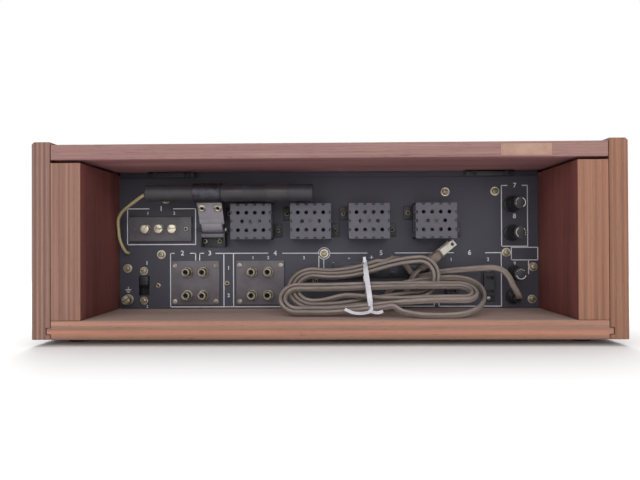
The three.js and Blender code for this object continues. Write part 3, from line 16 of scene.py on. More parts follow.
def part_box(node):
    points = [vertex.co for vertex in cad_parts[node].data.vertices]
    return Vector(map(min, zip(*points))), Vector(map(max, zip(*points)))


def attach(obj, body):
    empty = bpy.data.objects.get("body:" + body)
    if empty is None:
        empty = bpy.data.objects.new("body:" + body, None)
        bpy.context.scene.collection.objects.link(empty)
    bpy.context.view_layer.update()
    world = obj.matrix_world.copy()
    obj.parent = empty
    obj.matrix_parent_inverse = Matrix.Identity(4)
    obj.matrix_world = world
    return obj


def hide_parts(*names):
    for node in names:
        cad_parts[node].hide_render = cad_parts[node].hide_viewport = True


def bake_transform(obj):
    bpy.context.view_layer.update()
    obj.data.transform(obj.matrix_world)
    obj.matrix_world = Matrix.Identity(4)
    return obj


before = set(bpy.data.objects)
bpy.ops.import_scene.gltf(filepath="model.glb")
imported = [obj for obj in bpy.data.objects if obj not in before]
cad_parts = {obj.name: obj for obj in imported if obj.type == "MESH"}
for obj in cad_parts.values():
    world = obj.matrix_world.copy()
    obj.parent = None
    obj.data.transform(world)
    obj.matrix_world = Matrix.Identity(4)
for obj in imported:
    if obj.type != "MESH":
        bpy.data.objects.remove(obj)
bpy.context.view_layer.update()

# %% [markdown]
# The shapes are drawn in millimetres as somebody in front of that side sees them: x to the right,
# z up, and the viewer at -y. Two matrices then carry the rear side and the front side to their
# places, and a third only turns millimetres into metres.

# %% Places of the two sides
MM = 0.001
FOOT_HEIGHT = 5.5
REAR_EDGE_Y = 187.0
PANEL_Y = 108.0
PLATE_Y = -161.0
WORLD = Matrix.Scale(MM, 4)
REAR = WORLD @ Matrix.Translation((0, PANEL_Y, FOOT_HEIGHT)) @ Matrix.Rotation(math.pi, 4, "Z")
FRONT = WORLD @ Matrix.Translation((0, PLATE_Y, FOOT_HEIGHT))


def at(x, z, reach=0.0):
    """A place on a side: x to the right, z up and reach towards the viewer, in millimetres."""
    return Matrix.Translation((x, -reach, z))


# %% [markdown]
# ## The camera
# The photograph was taken from behind, level with the panel, about 40 cm from the cabinet's rear
# edge. Its angle and lens come from the cabinet's straight edges. The picture is 640 pixels wide,
# so a focal length in pixels turns into millimetres on Blender's 36 mm sensor.

# %% Camera
PICTURE_WIDTH = 640
FOCAL_PIXELS = 518.0
CAMERA_PLACE = (-2.03, REAR_EDGE_Y + 423.18, 78.96 + FOOT_HEIGHT)
CAMERA_YAW, CAMERA_PITCH, CAMERA_ROLL = 0.01833, -0.0059, -0.0045


def add_camera():
    """Puts the camera where the photograph's was, with x right and y down turned into Blender's axes."""
    data = bpy.data.cameras.new("camera")
    data.sensor_width = 36.0
    data.lens = data.sensor_width * FOCAL_PIXELS / PICTURE_WIDTH
    turned = (Matrix.Rotation(CAMERA_ROLL, 3, "Z") @ Matrix.Rotation(CAMERA_PITCH, 3, "X")
              @ Matrix.Rotation(CAMERA_YAW, 3, "Y"))
    right, down, ahead = (Vector((-row[0], -row[2], -row[1])) for row in turned)
    axes = Matrix((right, -down, -ahead)).transposed()
    camera = bpy.data.objects.new("camera", data)
    bpy.context.scene.collection.objects.link(camera)
    camera.matrix_world = Matrix.Translation(WORLD @ Vector(CAMERA_PLACE)) @ axes.to_4x4()
    bpy.context.scene.camera = camera
    return camera


camera = add_camera()
print("camera at", [round(x, 3) for x in camera.matrix_world.translation])

# %% [markdown]
# ## A way to write finishes
# A finish is a material whose colour, roughness and bump vary over the surface. Wiring nodes by
# hand is long, so one class wraps a socket and lets Python's own signs add the Math nodes, and
# one method makes any other node from its type, its settings and its sockets.

# %% Wires and finishes
def shade(red, green, blue):
    """A colour on a picture's 0 to 255 scale, as the linear light that the shader works in."""
    share = [level / 255 for level in (red, green, blue)]
    return tuple(s / 12.92 if s <= 0.04 else ((s + 0.055) / 1.055) ** 2.4 for s in share) + (1.0,)


class Wire:
    """One output socket of a finish. Sums and products of wires become Math nodes."""

    def __init__(self, finish, socket):
        self.finish = finish
        self.socket = socket

    def maths(self, operation, first, second):
        return self.finish.node("ShaderNodeMath", {"operation": operation}, {0: first, 1: second})

    def __add__(self, other):
        return self.maths("ADD", self, other)

    def __radd__(self, other):
        return self.maths("ADD", other, self)

    def __sub__(self, other):
        return self.maths("SUBTRACT", self, other)

    def __rsub__(self, other):
        return self.maths("SUBTRACT", other, self)

    def __mul__(self, other):
        return self.maths("MULTIPLY", self, other)

    def __rmul__(self, other):
        return self.maths("MULTIPLY", other, self)

    def ease(self, low, high):
        """0 below low, 1 above high, and a smooth step between them."""
        return self.finish.node("ShaderNodeMapRange", {"interpolation_type": "SMOOTHSTEP"},
                                {0: self, 1: low, 2: high, 3: 0.0, 4: 1.0})


class Finish:
    """A material under construction, and the nodes that it is made of."""

    def __init__(self, name, **fixed):
        self.material = bpy.data.materials.new(name)
        self.material.use_nodes = True
        self.tree = self.material.node_tree
        self.shader = self.tree.nodes["Principled BSDF"]
        self.set(**fixed)

    def set(self, **sockets):
        """Values or wires for the shader's sockets, with spaces in their names written as _."""
        for name, value in sockets.items():
            socket = self.shader.inputs[name.replace("_", " ")]
            if isinstance(value, Wire):
                self.tree.links.new(value.socket, socket)
            else:
                socket.default_value = value
        return self

    def node(self, kind, settings=None, sockets=None, out=0):
        made = self.tree.nodes.new(kind)
        for name, value in (settings or {}).items():
            if name == "stops":
                elements = made.color_ramp.elements
                for position, _ in value[2:]:
                    elements.new(position)
                for element, (position, colour) in zip(elements, value):
                    element.position = position
                    element.color = colour
            else:
                setattr(made, name, value)
        for name, value in (sockets or {}).items():
            if isinstance(value, Wire):
                self.tree.links.new(value.socket, made.inputs[name])
            else:
                made.inputs[name].default_value = value
        return Wire(self, made.outputs[out])

    def place(self, *scale):
        """Object coordinates in metres, times a scale for each axis."""
        coords = self.node("ShaderNodeTexCoord", out="Object")
        return self.node("ShaderNodeVectorMath", {"operation": "MULTIPLY"}, {0: coords, 1: scale})

    def axis(self, name):
        """One object coordinate in metres."""
        return self.node("ShaderNodeSeparateXYZ", None, {0: self.place(1.0, 1.0, 1.0)}, out=name)

    def noise(self, *scale, detail=3.0, roughness=0.55, where=None):
        """Cloudy noise from 0 to 1, with its own scale on each axis in turns per metre."""
        scale = scale if len(scale) == 3 else scale * 3
        where = where or self.place(*scale)
        return self.node("ShaderNodeTexNoise", None,
                         {"Vector": where, "Scale": 1.0, "Detail": detail, "Roughness": roughness})

    def mix(self, factor, one, other):
        """A colour between one and other."""
        return self.node("ShaderNodeMix", {"data_type": "RGBA"}, {0: factor, 6: one, 7: other}, out=2)

    def tint(self, colour, factor):
        """A colour made darker or lighter by a wire."""
        grey = self.node("ShaderNodeCombineXYZ", None, {0: factor, 1: factor, 2: factor})
        return self.node("ShaderNodeVectorMath", {"operation": "MULTIPLY"}, {0: colour, 1: grey})

    def ramp(self, wire, *stops, interpolation="LINEAR"):
        made = self.node("ShaderNodeValToRGB", {"stops": stops}, {0: wire})
        made.socket.node.color_ramp.interpolation = interpolation
        return made

    def bump(self, height, distance):
        """Raises the surface by a wire's height, where 1 stands for a distance in metres."""
        normal = self.node("ShaderNodeBump", None, {"Height": height, "Distance": distance, "Strength": 1.0})
        return self.set(Normal=normal)


# %% [markdown]
# The mains cord is soft vinyl. It has patches of dust, and its
# colour drifts along its length. The finish reads the cord's own UV map: u runs along the cord
# in metres, and v once round it, so the patches follow the cord in every bend.

# %% Vinyl finishes
def cord_vinyl(name, colour, dust, roughness):
    finish = Finish(name, Specular_IOR_Level=0.4)
    uv = finish.node("ShaderNodeUVMap", {"uv_map": "along"})
    along = finish.node("ShaderNodeVectorMath", {"operation": "MULTIPLY"}, {0: uv, 1: (60.0, 9.0, 1.0)})
    fine = finish.node("ShaderNodeVectorMath", {"operation": "MULTIPLY"}, {0: uv, 1: (900.0, 60.0, 1.0)})
    drift = finish.noise(detail=3.0, where=along)
    grain = finish.noise(detail=2.0, where=fine)
    soil = (0.65 * drift + 0.35 * grain).ease(0.38, 0.66)
    finish.set(Base_Color=finish.mix(soil, shade(*colour), shade(*dust)),
               Roughness=roughness + 0.18 * drift)
    return finish.bump(grain, 0.00006).material


CORD_VINYL = cord_vinyl("cord_vinyl", (122, 110, 104), (150, 138, 131), 0.42)
LEAD_VINYL = cord_vinyl("lead_vinyl", (168, 152, 104), (196, 186, 150), 0.3)
print("finishes:", CORD_VINYL.name, LEAD_VINYL.name)

# %% [markdown]
# ## Mesh helpers
# Every element is a small bmesh of its own. It is made closed, its faces are turned outwards and
# it is told which of the piece's finishes it shows. Then it is copied into the piece at its place.

# %% Mesh helpers
def closed(bm, finish=0):
    """Merges what lies in one place, turns the faces outwards and sets their finish."""
    bmesh.ops.remove_doubles(bm, verts=bm.verts, dist=0.0005)
    bmesh.ops.recalc_face_normals(bm, faces=bm.faces)
    for face in bm.faces:
        face.material_index = finish
    return bm


def put(target, source, *places):
    """Adds a copy of one bmesh to another at each place, and frees the source."""
    mesh = bpy.data.meshes.new("element")
    source.to_mesh(mesh)
    source.free()
    for place in places or (Matrix(),):
        before = set(target.verts)
        target.from_mesh(mesh)
        bmesh.ops.transform(target, matrix=place, verts=[vert for vert in target.verts if vert not in before])
    bpy.data.meshes.remove(mesh)
    return target


def add_piece(name, bm, finishes, body, side=WORLD, replaces=(), sharp=35):
    """Makes a bmesh in millimetres a finished piece on its body, and frees the bmesh."""
    bmesh.ops.transform(bm, matrix=side, verts=bm.verts)
    unclosed = sum(not edge.is_manifold for edge in bm.edges)
    mesh = bpy.data.meshes.new(name)
    bm.to_mesh(mesh)
    bm.free()
    for finish in finishes:
        mesh.materials.append(finish)
    mesh.shade_smooth()
    mesh.set_sharp_from_angle(angle=math.radians(sharp))
    piece = bpy.data.objects.new(name, mesh)
    bpy.context.scene.collection.objects.link(piece)
    if body:
        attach(piece, body)
    if replaces:
        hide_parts(*replaces)
    mesh.calc_loop_triangles()
    print(f"{name}: {len(mesh.loop_triangles)} triangles, {unclosed} open edges")
    return piece


# %% [markdown]
# ## The mains cord
# A flat twin cord leaves the panel at its lower right, runs behind the hank, and is folded into
# four and a half loops, held by a white tie. Its tail comes back to the plug. The loops lie on two
# leaning sheets that meet at the left, so they fan out at the right as the folded cord does. The
# numbers follow the CAD model's, as [right, towards the viewer, height] seen from behind, with the
# section a little fuller and the waist a little less deep, as in the photograph.

# %% Route of the cord
CORD_WIDTH, CORD_THICKNESS = 5.6, 3.3
LOOPS, BACK_LOOPS = 4.5, 2.5
RUN_STEPS, FOLD_STEPS = 5, 7
HANK_PITCH, LAYER_GAP = 4.0, 0.9
WAIST_X, WAIST_LENGTH, WAIST_DIP = 30.0, 33.0, 4.5
TWIST_START, TWIST_END = -6.0, 96.0
LEFT_SHEET = (56.0, 18.4, 46.0)
RIGHT_SHEETS = {"back": (39.0, 23.0, 84.0), "front": (66.0, 26.5, 27.0)}
BELTS = {
    "back": ((-12.0, 30.0, 24.0), (82.0, 27.0, 21.0), WAIST_DIP),
    "front": ((-26.0, 14.0, 16.0), (115.0, 15.0, 16.0), 0.0),
}
LEAD_ROUTE = [
    (178.2, 9.6, 27), (178.2, 15.5, 27.1), (177, 20.4, 28.4), (174, 23.6, 32.5), (169.6, 25, 39.5),
    (166, 25.4, 47), (160.5, 25.4, 53), (152, 24.6, 55.6), (140, 23, 55.2), (127, 21, 54), (114, 18.4, 52.6),
    (104, 15.6, 51.2), (95, 12.8, 48.6), (86.5, 10.8, 47.2), (79.5, 10.4, 50.6), (74.5, 12.4, 57),
    (68.6, 17, 62.6), (60.5, 22.4, 64), (52, 25.6, 61.6),
]
TAIL_ROUTE = [
    (62, 66.4, 21.6), (74, 68.4, 19.2), (87, 69.4, 18.2), (100, 69.2, 18.2), (113, 67.4, 19), (125, 62.6, 22),
    (133.6, 54.4, 27.2), (137.6, 44.4, 33.6), (136, 35, 40), (129, 28.6, 44.6), (118, 25, 46.6),
    (105, 23, 46.2), (92, 22, 44.8), (79, 21.2, 43), (66, 20, 39.6), (57, 18, 33.8), (55, 15.4, 26.6),
    (61, 13.6, 22.4), (69, 13, 25), (74, 13.2, 32.6), (77, 14.6, 41),
]


def ease(value, low, high):
    share = min(max((value - low) / (high - low), 0.0), 1.0)
    return share * share * (3 - 2 * share)


def between(one, other, share):
    return one + (other - one) * share


def sheet_frame(layer, x):
    """The lowest line of a leaning sheet at a distance x, and its directions up and out of it."""
    share = ease(x, TWIST_START, TWIST_END)
    reach, height, lean = (between(a, b, share) for a, b in zip(LEFT_SHEET, RIGHT_SHEETS[layer]))
    lean = math.radians(lean)
    return (Vector((x, reach, height)), Vector((0, -math.cos(lean), math.sin(lean))),
            Vector((0, math.sin(lean), math.cos(lean))))


def belt_point(layer, inward, turn):
    """Where a loop lies on its sheet: turn 0 is the middle of its upper run, and it goes left and down."""
    (left_x, left_rise, left_radius), (right_x, right_rise, right_radius), dip = BELTS[layer]
    run = RUN_STEPS / (2 * (RUN_STEPS + FOLD_STEPS))
    fold = FOLD_STEPS / (2 * (RUN_STEPS + FOLD_STEPS))
    phase = turn - math.floor(turn)
    ends = (run / 2, run / 2 + fold, 3 * run / 2 + fold, 3 * run / 2 + 2 * fold)
    left, right = left_radius - inward, right_radius - inward
    if ends[0] <= phase <= ends[1]:
        angle = math.pi / 2 + math.pi * (phase - ends[0]) / fold
        x, rise = left_x + left * math.cos(angle), left_rise + left * math.sin(angle)
    elif ends[1] < phase < ends[2]:
        share = (phase - ends[1]) / run
        x, rise = between(left_x, right_x, share), between(left_rise - left, right_rise - right, share)
    elif ends[2] <= phase <= ends[3]:
        angle = -math.pi / 2 + math.pi * (phase - ends[2]) / fold
        x, rise = right_x + right * math.cos(angle), right_rise + right * math.sin(angle)
    else:
        share = (phase - ends[3]) / run if phase > ends[3] else (phase + 1 - ends[3]) / run
        x, rise = between(right_x, left_x, share), between(right_rise + right, left_rise + left, share)
    middle = between(left_rise, right_rise, (x - left_x) / (right_x - left_x))
    upper = min(max((rise - middle) / (left_radius / 3), 0.0), 1.0)
    return x, rise - dip * upper * math.exp(-(((x - WAIST_X) / WAIST_LENGTH) ** 2))


def hank_sample(turn):
    """A point of the hank and the direction in which the flat cord is wide there."""
    climb_run = RUN_STEPS / (2 * (RUN_STEPS + FOLD_STEPS))
    back_in = HANK_PITCH * min(turn, BACK_LOOPS)
    front_in = HANK_PITCH * (LOOPS - BACK_LOOPS - max(turn - BACK_LOOPS, 0.0))
    climb = ease(turn, BACK_LOOPS - climb_run / 2, BACK_LOOPS - climb_run / 6)
    shift = ease(turn, BACK_LOOPS - climb_run / 4, BACK_LOOPS + climb_run / 5)
    offset = (CORD_WIDTH + LAYER_GAP) / 2 * (2 * climb - 1)
    found = []
    for layer, inward in (("back", back_in), ("front", front_in)):
        x, rise = belt_point(layer, inward, turn)
        start, along, normal = sheet_frame(layer, x)
        found.append((start + rise * along + offset * normal, normal))
    (back, back_normal), (front, front_normal) = found
    return back.lerp(front, shift), back_normal.lerp(front_normal, shift).normalized()


FINE = 4
steps = round(LOOPS * 2 * (RUN_STEPS + FOLD_STEPS)) * FINE
hank = [hank_sample(LOOPS * index / steps) for index in range(steps + 1)]
print("hank samples:", len(hank))

# %% [markdown]
# Between its given points the cord follows a Catmull-Rom curve whose pace follows the distance
# between the points, which keeps tight and wide bends round alike.

# %% Curve through the points
PLUG_PLACE = (105.0, 13.0, 68.6)
PLUG_TURN, PLUG_TILT, PLUG_ROLL = 52.0, -10.0, 90.0
PLUG_LENGTH = 24.0
PLUG = (at(PLUG_PLACE[0], PLUG_PLACE[2], PLUG_PLACE[1]) @ Matrix.Rotation(math.radians(PLUG_TURN), 4, "Y")
        @ Matrix.Rotation(math.radians(PLUG_TILT), 4, "X") @ Matrix.Rotation(math.radians(PLUG_ROLL), 4, "Z"))


def curve_through(points, step):
    """Points about a step apart on a centripetal Catmull-Rom curve."""
    ends = [2 * points[0] - points[1], *points, 2 * points[-1] - points[-2]]
    made = []
    for p0, p1, p2, p3 in zip(ends, ends[1:], ends[2:], ends[3:]):
        t1 = (p1 - p0).length ** 0.5
        t2 = t1 + (p2 - p1).length ** 0.5
        t3 = t2 + (p3 - p2).length ** 0.5
        count = max(1, round((p2 - p1).length / step))
        for index in range(count):
            t = between(t1, t2, index / count)
            a1, a2, a3 = p0.lerp(p1, t / t1), p1.lerp(p2, (t - t1) / (t2 - t1)), p2.lerp(p3, (t - t2) / (t3 - t2))
            b1, b2 = a1.lerp(a2, t / t2), a2.lerp(a3, (t - t1) / (t3 - t1))
            made.append(b1.lerp(b2, (t - t1) / (t2 - t1)))
    return made + [points[-1]]


def mirror_reach(vector):
    """Turns [right, towards the viewer, height] into the side's own axes, and back."""
    return Vector((vector[0], -vector[1], vector[2]))


def cord_route():
    """The whole cord: points, and the direction in which the flat cord is wide at each of them."""
    start_away = (hank_sample(-0.01)[0] - hank[0][0]).normalized()
    end_away = (hank_sample(LOOPS + 0.01)[0] - hank[-1][0]).normalized()
    rear = [mirror_reach(PLUG @ Vector((0, 0, -PLUG_LENGTH - gap))) for gap in (CORD_WIDTH, -1.0)]
    joins = [hank[0][0] + start_away * gap for gap in (2 * CORD_WIDTH, CORD_WIDTH)]
    lead = curve_through([Vector((178.2, 3.0, 27.0)), *map(Vector, LEAD_ROUTE), *joins], 2.5)
    joins = [hank[-1][0] + end_away * gap for gap in (CORD_WIDTH, 2 * CORD_WIDTH)]
    tail = curve_through([*joins, *map(Vector, TAIL_ROUTE), *rear], 2.5)
    points = lead + [point for point, _ in hank] + tail
    across_plug = mirror_reach(PLUG.to_3x3() @ Vector((1, 0, 0)))
    count = len(lead)
    wide = [Vector((1, 0, 0)).lerp(Vector((0.1, 0.2, 1)), ease(i, 0.04 * count, 0.28 * count))
            .lerp(hank[0][1], ease(i, 0.7 * count, count)) for i in range(count)]
    wide += [normal for _, normal in hank]
    count = len(tail)
    wide += [hank[-1][1].lerp(Vector((0, 0.3, 1)), ease(i, 0, 0.4 * count))
             .lerp(across_plug, ease(i, 0.8 * count, count)) for i in range(count)]
    return points, wide


points, wide = cord_route()
length = sum((b - a).length for a, b in zip(points, points[1:]))
print(f"cord: {len(points)} points, {length:.0f} mm")

# %% [markdown]
# The cord's section is two round leads side by side with a groove between them. One ring of that
# section is extruded from point to point. The matrix from one place to the next turns and moves
# each new ring, and a little of each wished direction is mixed into the last one, so that the flat
# cord twists slowly.

# %% Sweep a section along a route
def route_frames(points, wide):
    """A matrix at each point: x is where the cord is wide, and z runs along it."""
    frames = []
    last = None
    for index, point in enumerate(points):
        along = (points[min(index + 1, len(points) - 1)] - points[max(index - 1, 0)]).normalized()
        wish = wide[index] if last is None or wide[index].dot(last) > 0 else -wide[index]
        across = wish if last is None else last.lerp(wish, 0.35)
        across = (across - across.dot(along) * along).normalized()
        turned = Matrix((across, along.cross(across), along)).transposed().to_4x4()
        frames.append(Matrix.Translation(point) @ turned)
        last = across
    return frames


def sweep(section, frames):
    """Extrudes a closed section of (x, y) points from frame to frame, with a UV map along the way."""
    bm = bmesh.new()
    uv = bm.loops.layers.uv.new("along")
    place = {}
    verts = [bm.verts.new(frames[0] @ Vector((x, y, 0))) for x, y in section]
    ring = [bm.edges.new(pair) for pair in zip(verts, verts[1:] + verts[:1])]
    travelled = 0.0
    first_ring = ring
    for index, vert in enumerate(verts):
        place[vert] = (0.0, index / len(section))
    for before, after in zip(frames, frames[1:]):
        travelled += (after.translation - before.translation).length
        made = bmesh.ops.extrude_edge_only(bm, edges=ring)["geom"]
        new_verts = [item for item in made if isinstance(item, bmesh.types.BMVert)]
        ring = [item for item in made if isinstance(item, bmesh.types.BMEdge)
                and item.verts[0] in new_verts and item.verts[1] in new_verts]
        inverse = before.inverted()
        for vert in new_verts:
            spot = inverse @ vert.co
            nearest = min(range(len(section)),
                          key=lambda k: (section[k][0] - spot.x) ** 2 + (section[k][1] - spot.y) ** 2)
            place[vert] = (travelled * MM, nearest / len(section))
        bmesh.ops.transform(bm, matrix=after @ inverse, verts=new_verts)
    for face in bm.faces:
        high = max(place[loop.vert][1] for loop in face.loops)
        for loop in face.loops:
            u, v = place[loop.vert]
            loop[uv].uv = (u, v + 1.0 if high > 0.6 and v == 0.0 else v)
    for end in (first_ring, ring):
        bmesh.ops.edgeloop_fill(bm, edges=end)
    bmesh.ops.recalc_face_normals(bm, faces=bm.faces)
    return bm


def twin_section(width, thickness, sides=6):
    """The outline of two round leads side by side, with a shallow groove between them."""
    radius = thickness / 2
    centre = width / 2 - radius
    arc = [math.radians(between(-128, 128, k / sides)) for k in range(sides + 1)]
    right = [(centre + radius * math.cos(a), radius * math.sin(a)) for a in arc]
    return right + [(-x, -y) for x, y in right]


def to_world(points):
    """Points as seen from behind, in metres in the model's frame."""
    return [REAR @ mirror_reach(point) for point in points]


def cord_mesh(section, points, wide):
    """Sweeps a section and mirrors it from [right, towards the viewer, height] to the side's axes."""
    bm = sweep(section, route_frames(points, wide))
    bmesh.ops.transform(bm, matrix=Matrix.Diagonal((1, -1, 1, 1)), verts=bm.verts)
    bmesh.ops.recalc_face_normals(bm, faces=bm.faces)
    return bm


cord = add_piece("mains_cord", cord_mesh(twin_section(CORD_WIDTH, CORD_THICKNESS), points, wide),
                 [CORD_VINYL], "receiver", REAR,
                 replaces=("power_cord_lead", "power_cord_hank", "power_cord_tail"), sharp=60)
cord_path = to_world(points)

# %% [markdown]
# ## Wood
# The cabinet is plywood with a brown veneer. Veneer shows how a tree grew, so three
# scales of noise make it: broad figure, fibres, and short dark pores, all drawn out along the
# grain. A cut edge shows the plies as bands, each with its own tone, because the grain of every
# second ply runs towards the viewer.

# %% Wood finishes
def stretched(grain, across, along):
    """Scales per axis for noise that is drawn out along the grain's axis."""
    return [along if axis == grain else across for axis in "XYZ"]


def veneer(name, light, dark, grain, gloss=0.45, dust=0.0):
    finish = Finish(name, Specular_IOR_Level=0.35)
    figure = finish.noise(*stretched(grain, 42.0, 2.2), detail=3.0)
    fibres = finish.noise(*stretched(grain, 620.0, 9.0), detail=4.0, roughness=0.6)
    pores = finish.noise(*stretched(grain, 2100.0, 70.0), detail=1.0)
    tone = (0.6 * figure + 0.55 * fibres - 0.08).ease(0.28, 0.72)
    colour = finish.mix(tone, shade(*dark), shade(*light))
    deep = tuple(0.45 * level for level in shade(*dark)[:3]) + (1.0,)
    colour = finish.mix(0.55 * pores.ease(0.6, 0.72), colour, deep)
    if dust:
        colour = finish.mix(dust * finish.noise(30.0, detail=4.0).ease(0.3, 0.75), colour, shade(150, 138, 132))
    finish.set(Base_Color=colour, Roughness=gloss + 0.22 * fibres)
    return finish.bump(0.6 * fibres + 0.4 * pores, 0.00012).material


def plies(name, across, low, high, grain, bands, joints=5, streak=1.0):
    """A cut edge: bands of colour from low to high on one axis, in metres, and a dark line at each glued joint."""
    finish = Finish(name, Specular_IOR_Level=0.3)
    wander = finish.noise(*stretched(grain, 60.0, 5.0), detail=2.0)
    share = (finish.axis(across) + 0.0011 * (wander - 0.5) - low) * (1.0 / (high - low))
    stops = [((index + 0.5) / len(bands), shade(*band)) for index, band in enumerate(bands)]
    layers = finish.ramp(share, *stops, interpolation="EASE")
    ply = share * float(joints)
    joint = ply.maths("ABSOLUTE", ply.maths("FRACT", ply, 0.0) - 0.5, 0.0).ease(0.36, 0.49)
    fibres = finish.noise(*stretched(grain, 1300.0, 26.0), detail=4.0, roughness=0.7)
    layers = finish.mix(joint * 0.5 * fibres, layers, shade(96, 70, 62))
    drift = finish.noise(*stretched(grain, 330.0, 7.0), detail=3.0)
    pores = finish.noise(*stretched(grain, 2300.0, 120.0), detail=1.0)
    level = 0.38 + streak * (0.62 * fibres + 0.56 * drift) - 0.2 * pores.ease(0.6, 0.74)
    finish.set(Base_Color=finish.tint(layers, level), Roughness=0.62 + 0.2 * fibres)
    return finish.bump(fibres, 0.00008).material


EDGE_A, EDGE_B = (138, 103, 89), (147, 111, 96)
EDGE_C, EDGE_D = (127, 94, 82), (141, 103, 88)
LEFT_BANDS = [(134, 106, 98), (116, 88, 80), (154, 118, 104), (122, 92, 82), (156, 122, 108), (120, 90, 82),
              (146, 112, 100), (138, 106, 94)]
EDGE_E, EDGE_F = (152, 109, 88), (139, 99, 80)
SIDE_BANDS = [EDGE_F, EDGE_E, EDGE_F, EDGE_E, EDGE_E, EDGE_F, EDGE_E, EDGE_F]
LINER_BANDS = [EDGE_B, EDGE_D, EDGE_A, EDGE_B, EDGE_C, EDGE_B, EDGE_A, EDGE_D, EDGE_C, EDGE_B, EDGE_A, EDGE_B]
RIGHT_LINER_BANDS = [EDGE_E, EDGE_F, EDGE_E, EDGE_F, EDGE_E, EDGE_E, EDGE_F, EDGE_E]
VENEER = veneer("walnut_veneer", (128, 82, 60), (78, 46, 36), "Y")
VENEER_ACROSS = veneer("walnut_edge_band", (164, 127, 121), (130, 94, 90), "X", gloss=0.4)
UNDERSIDE = veneer("underside_veneer", (166, 120, 120), (126, 84, 85), "X")
DARK_STAIN = veneer("dark_stain", (130, 76, 70), (92, 52, 49), "Z", gloss=0.5)
SHELF = veneer("dusty_shelf", (180, 156, 148), (154, 128, 119), "X", gloss=0.7, dust=0.4)
BARE_PLY = veneer("bare_ply", (150, 112, 84), (118, 84, 62), "X", gloss=0.65)

# %% [markdown]
# A CAD node's mesh is loose triangles. A copy of it is merged, flat triangles are dissolved into
# whole faces, and then its faces can be given finishes by the way they look.

# %% Cabinet boards
def node_copy(node):
    """A merged copy of a CAD node, in millimetres in the model's frame."""
    bm = bmesh.new()
    bm.from_mesh(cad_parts[node].data)
    bmesh.ops.transform(bm, matrix=Matrix.Scale(1 / MM, 4), verts=bm.verts)
    bmesh.ops.remove_doubles(bm, verts=bm.verts, dist=0.002)
    bmesh.ops.dissolve_limit(bm, angle_limit=math.radians(1), verts=bm.verts, edges=bm.edges)
    return bm


def rounded(bm, offset, segments=2, sharpest=50):
    """Bevels the edges where faces meet at an angle."""
    edges = [edge for edge in bm.edges if edge.is_manifold and edge.calc_face_angle(0) > math.radians(sharpest)]
    bmesh.ops.bevel(bm, geom=edges, offset=offset, offset_type="OFFSET", segments=segments, profile=0.5,
                    affect="EDGES", material=-1, clamp_overlap=True)
    return bm


def face_finish(bm, *rules):
    """Gives each face the first finish whose direction it looks in: (x, y, z, finish index)."""
    for face in bm.faces:
        for x, y, z, index in rules:
            if face.normal.dot(Vector((x, y, z))) > 0.75:
                face.material_index = index
                break


SIDE_ROUNDING, LINER_ROUNDING, TOP_ROUNDING, BOTTOM_ROUNDING = 0.7, 0.3, 0.7, 0.5


def board(name, node, finishes, rules, rounding):
    """Dresses one board of the cabinet: its edges are rounded and each side gets the finish that its rule names."""
    bm = rounded(node_copy(node), rounding)
    face_finish(bm, *rules)
    return add_piece(name, bm, finishes, "receiver", replaces=(node,), sharp=30)


def metres(node, axis):
    low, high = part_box(node)
    return low["XYZ".index(axis)], high["XYZ".index(axis)]


for side, bands in (("left", LEFT_BANDS), ("right", SIDE_BANDS)):
    # The rear group is seen from behind, so the cabinet's left there is at +x.
    node = f"cabinet_side_{'right' if side == 'left' else 'left'}"
    low, high = metres(node, "X")
    bands = bands[::-1] if side == "left" else bands
    edge = plies(f"side_edge_{side}", "X", low, high, "Z", bands, joints=4)
    board(node + "_board", node, [VENEER, edge], [(0, 1, 0, 1), (0, -1, 0, 1)],
          SIDE_ROUNDING)
for node, bands in (("side_liner_right", LINER_BANDS), ("side_liner_left", RIGHT_LINER_BANDS)):
    low, high = metres(node, "X")
    edge = plies(node + "_edge", "X", low, high, "Z", bands, joints=5, streak=1.15)
    board(node + "_board", node, [DARK_STAIN, edge], [(0, 1, 0, 1)], LINER_ROUNDING)
board("cabinet_top_board", "cabinet_top", [VENEER, VENEER_ACROSS, UNDERSIDE],
      [(0, 1, 0, 1), (0, -1, 0, 1), (0, 0, -1, 2)], TOP_ROUNDING)
low, high = metres("cabinet_bottom", "Z")
BOTTOM_BANDS = [(154, 118, 103), (174, 128, 109), (196, 139, 116), (194, 138, 115), (161, 124, 108), (164, 127, 111),
                (188, 139, 119), (194, 143, 122)]
bottom_edge = plies("bottom_edge", "Z", low, high, "X", BOTTOM_BANDS, joints=1, streak=0.8)
board("cabinet_bottom_board", "cabinet_bottom", [SHELF, bottom_edge, BARE_PLY],
      [(0, 1, 0, 1), (0, -1, 0, 1), (0, 0, -1, 2)], BOTTOM_ROUNDING)

# %% [markdown]
# ## Metal, paint and plastic
# Plated metal is rarely even: fine scratches, a haze of handling and a little tarnish vary its
# roughness. Paint has a fine grain and a cloudy film of dust. Moulded plastic is nearly even, with
# a slight texture from its tool.

# %% Hard finishes
def plated(name, colour, tarnish, roughness=0.32, scratch=(300.0, 300.0, 2600.0)):
    finish = Finish(name, Metallic=1.0)
    haze = finish.noise(160.0, detail=4.0)
    lines = finish.noise(*scratch, detail=2.0)
    finish.set(Base_Color=finish.mix(haze.ease(0.42, 0.72), shade(*colour), shade(*tarnish)),
               Roughness=roughness + 0.22 * haze)
    return finish.bump(lines, 0.00002).material


def painted(name, colour, worn, roughness=0.45, grain=2400.0, height=0.00003, cloud=14.0, metallic=0.0):
    finish = Finish(name, Metallic=metallic, Specular_IOR_Level=0.45)
    film = finish.noise(cloud, detail=5.0, roughness=0.6)
    texture = finish.noise(grain, detail=2.0)
    tone = (0.75 * film + 0.25 * texture).ease(0.36, 0.68)
    finish.set(Base_Color=finish.mix(tone, shade(*colour), shade(*worn)), Roughness=roughness + 0.2 * film)
    return finish.bump(texture, height).material


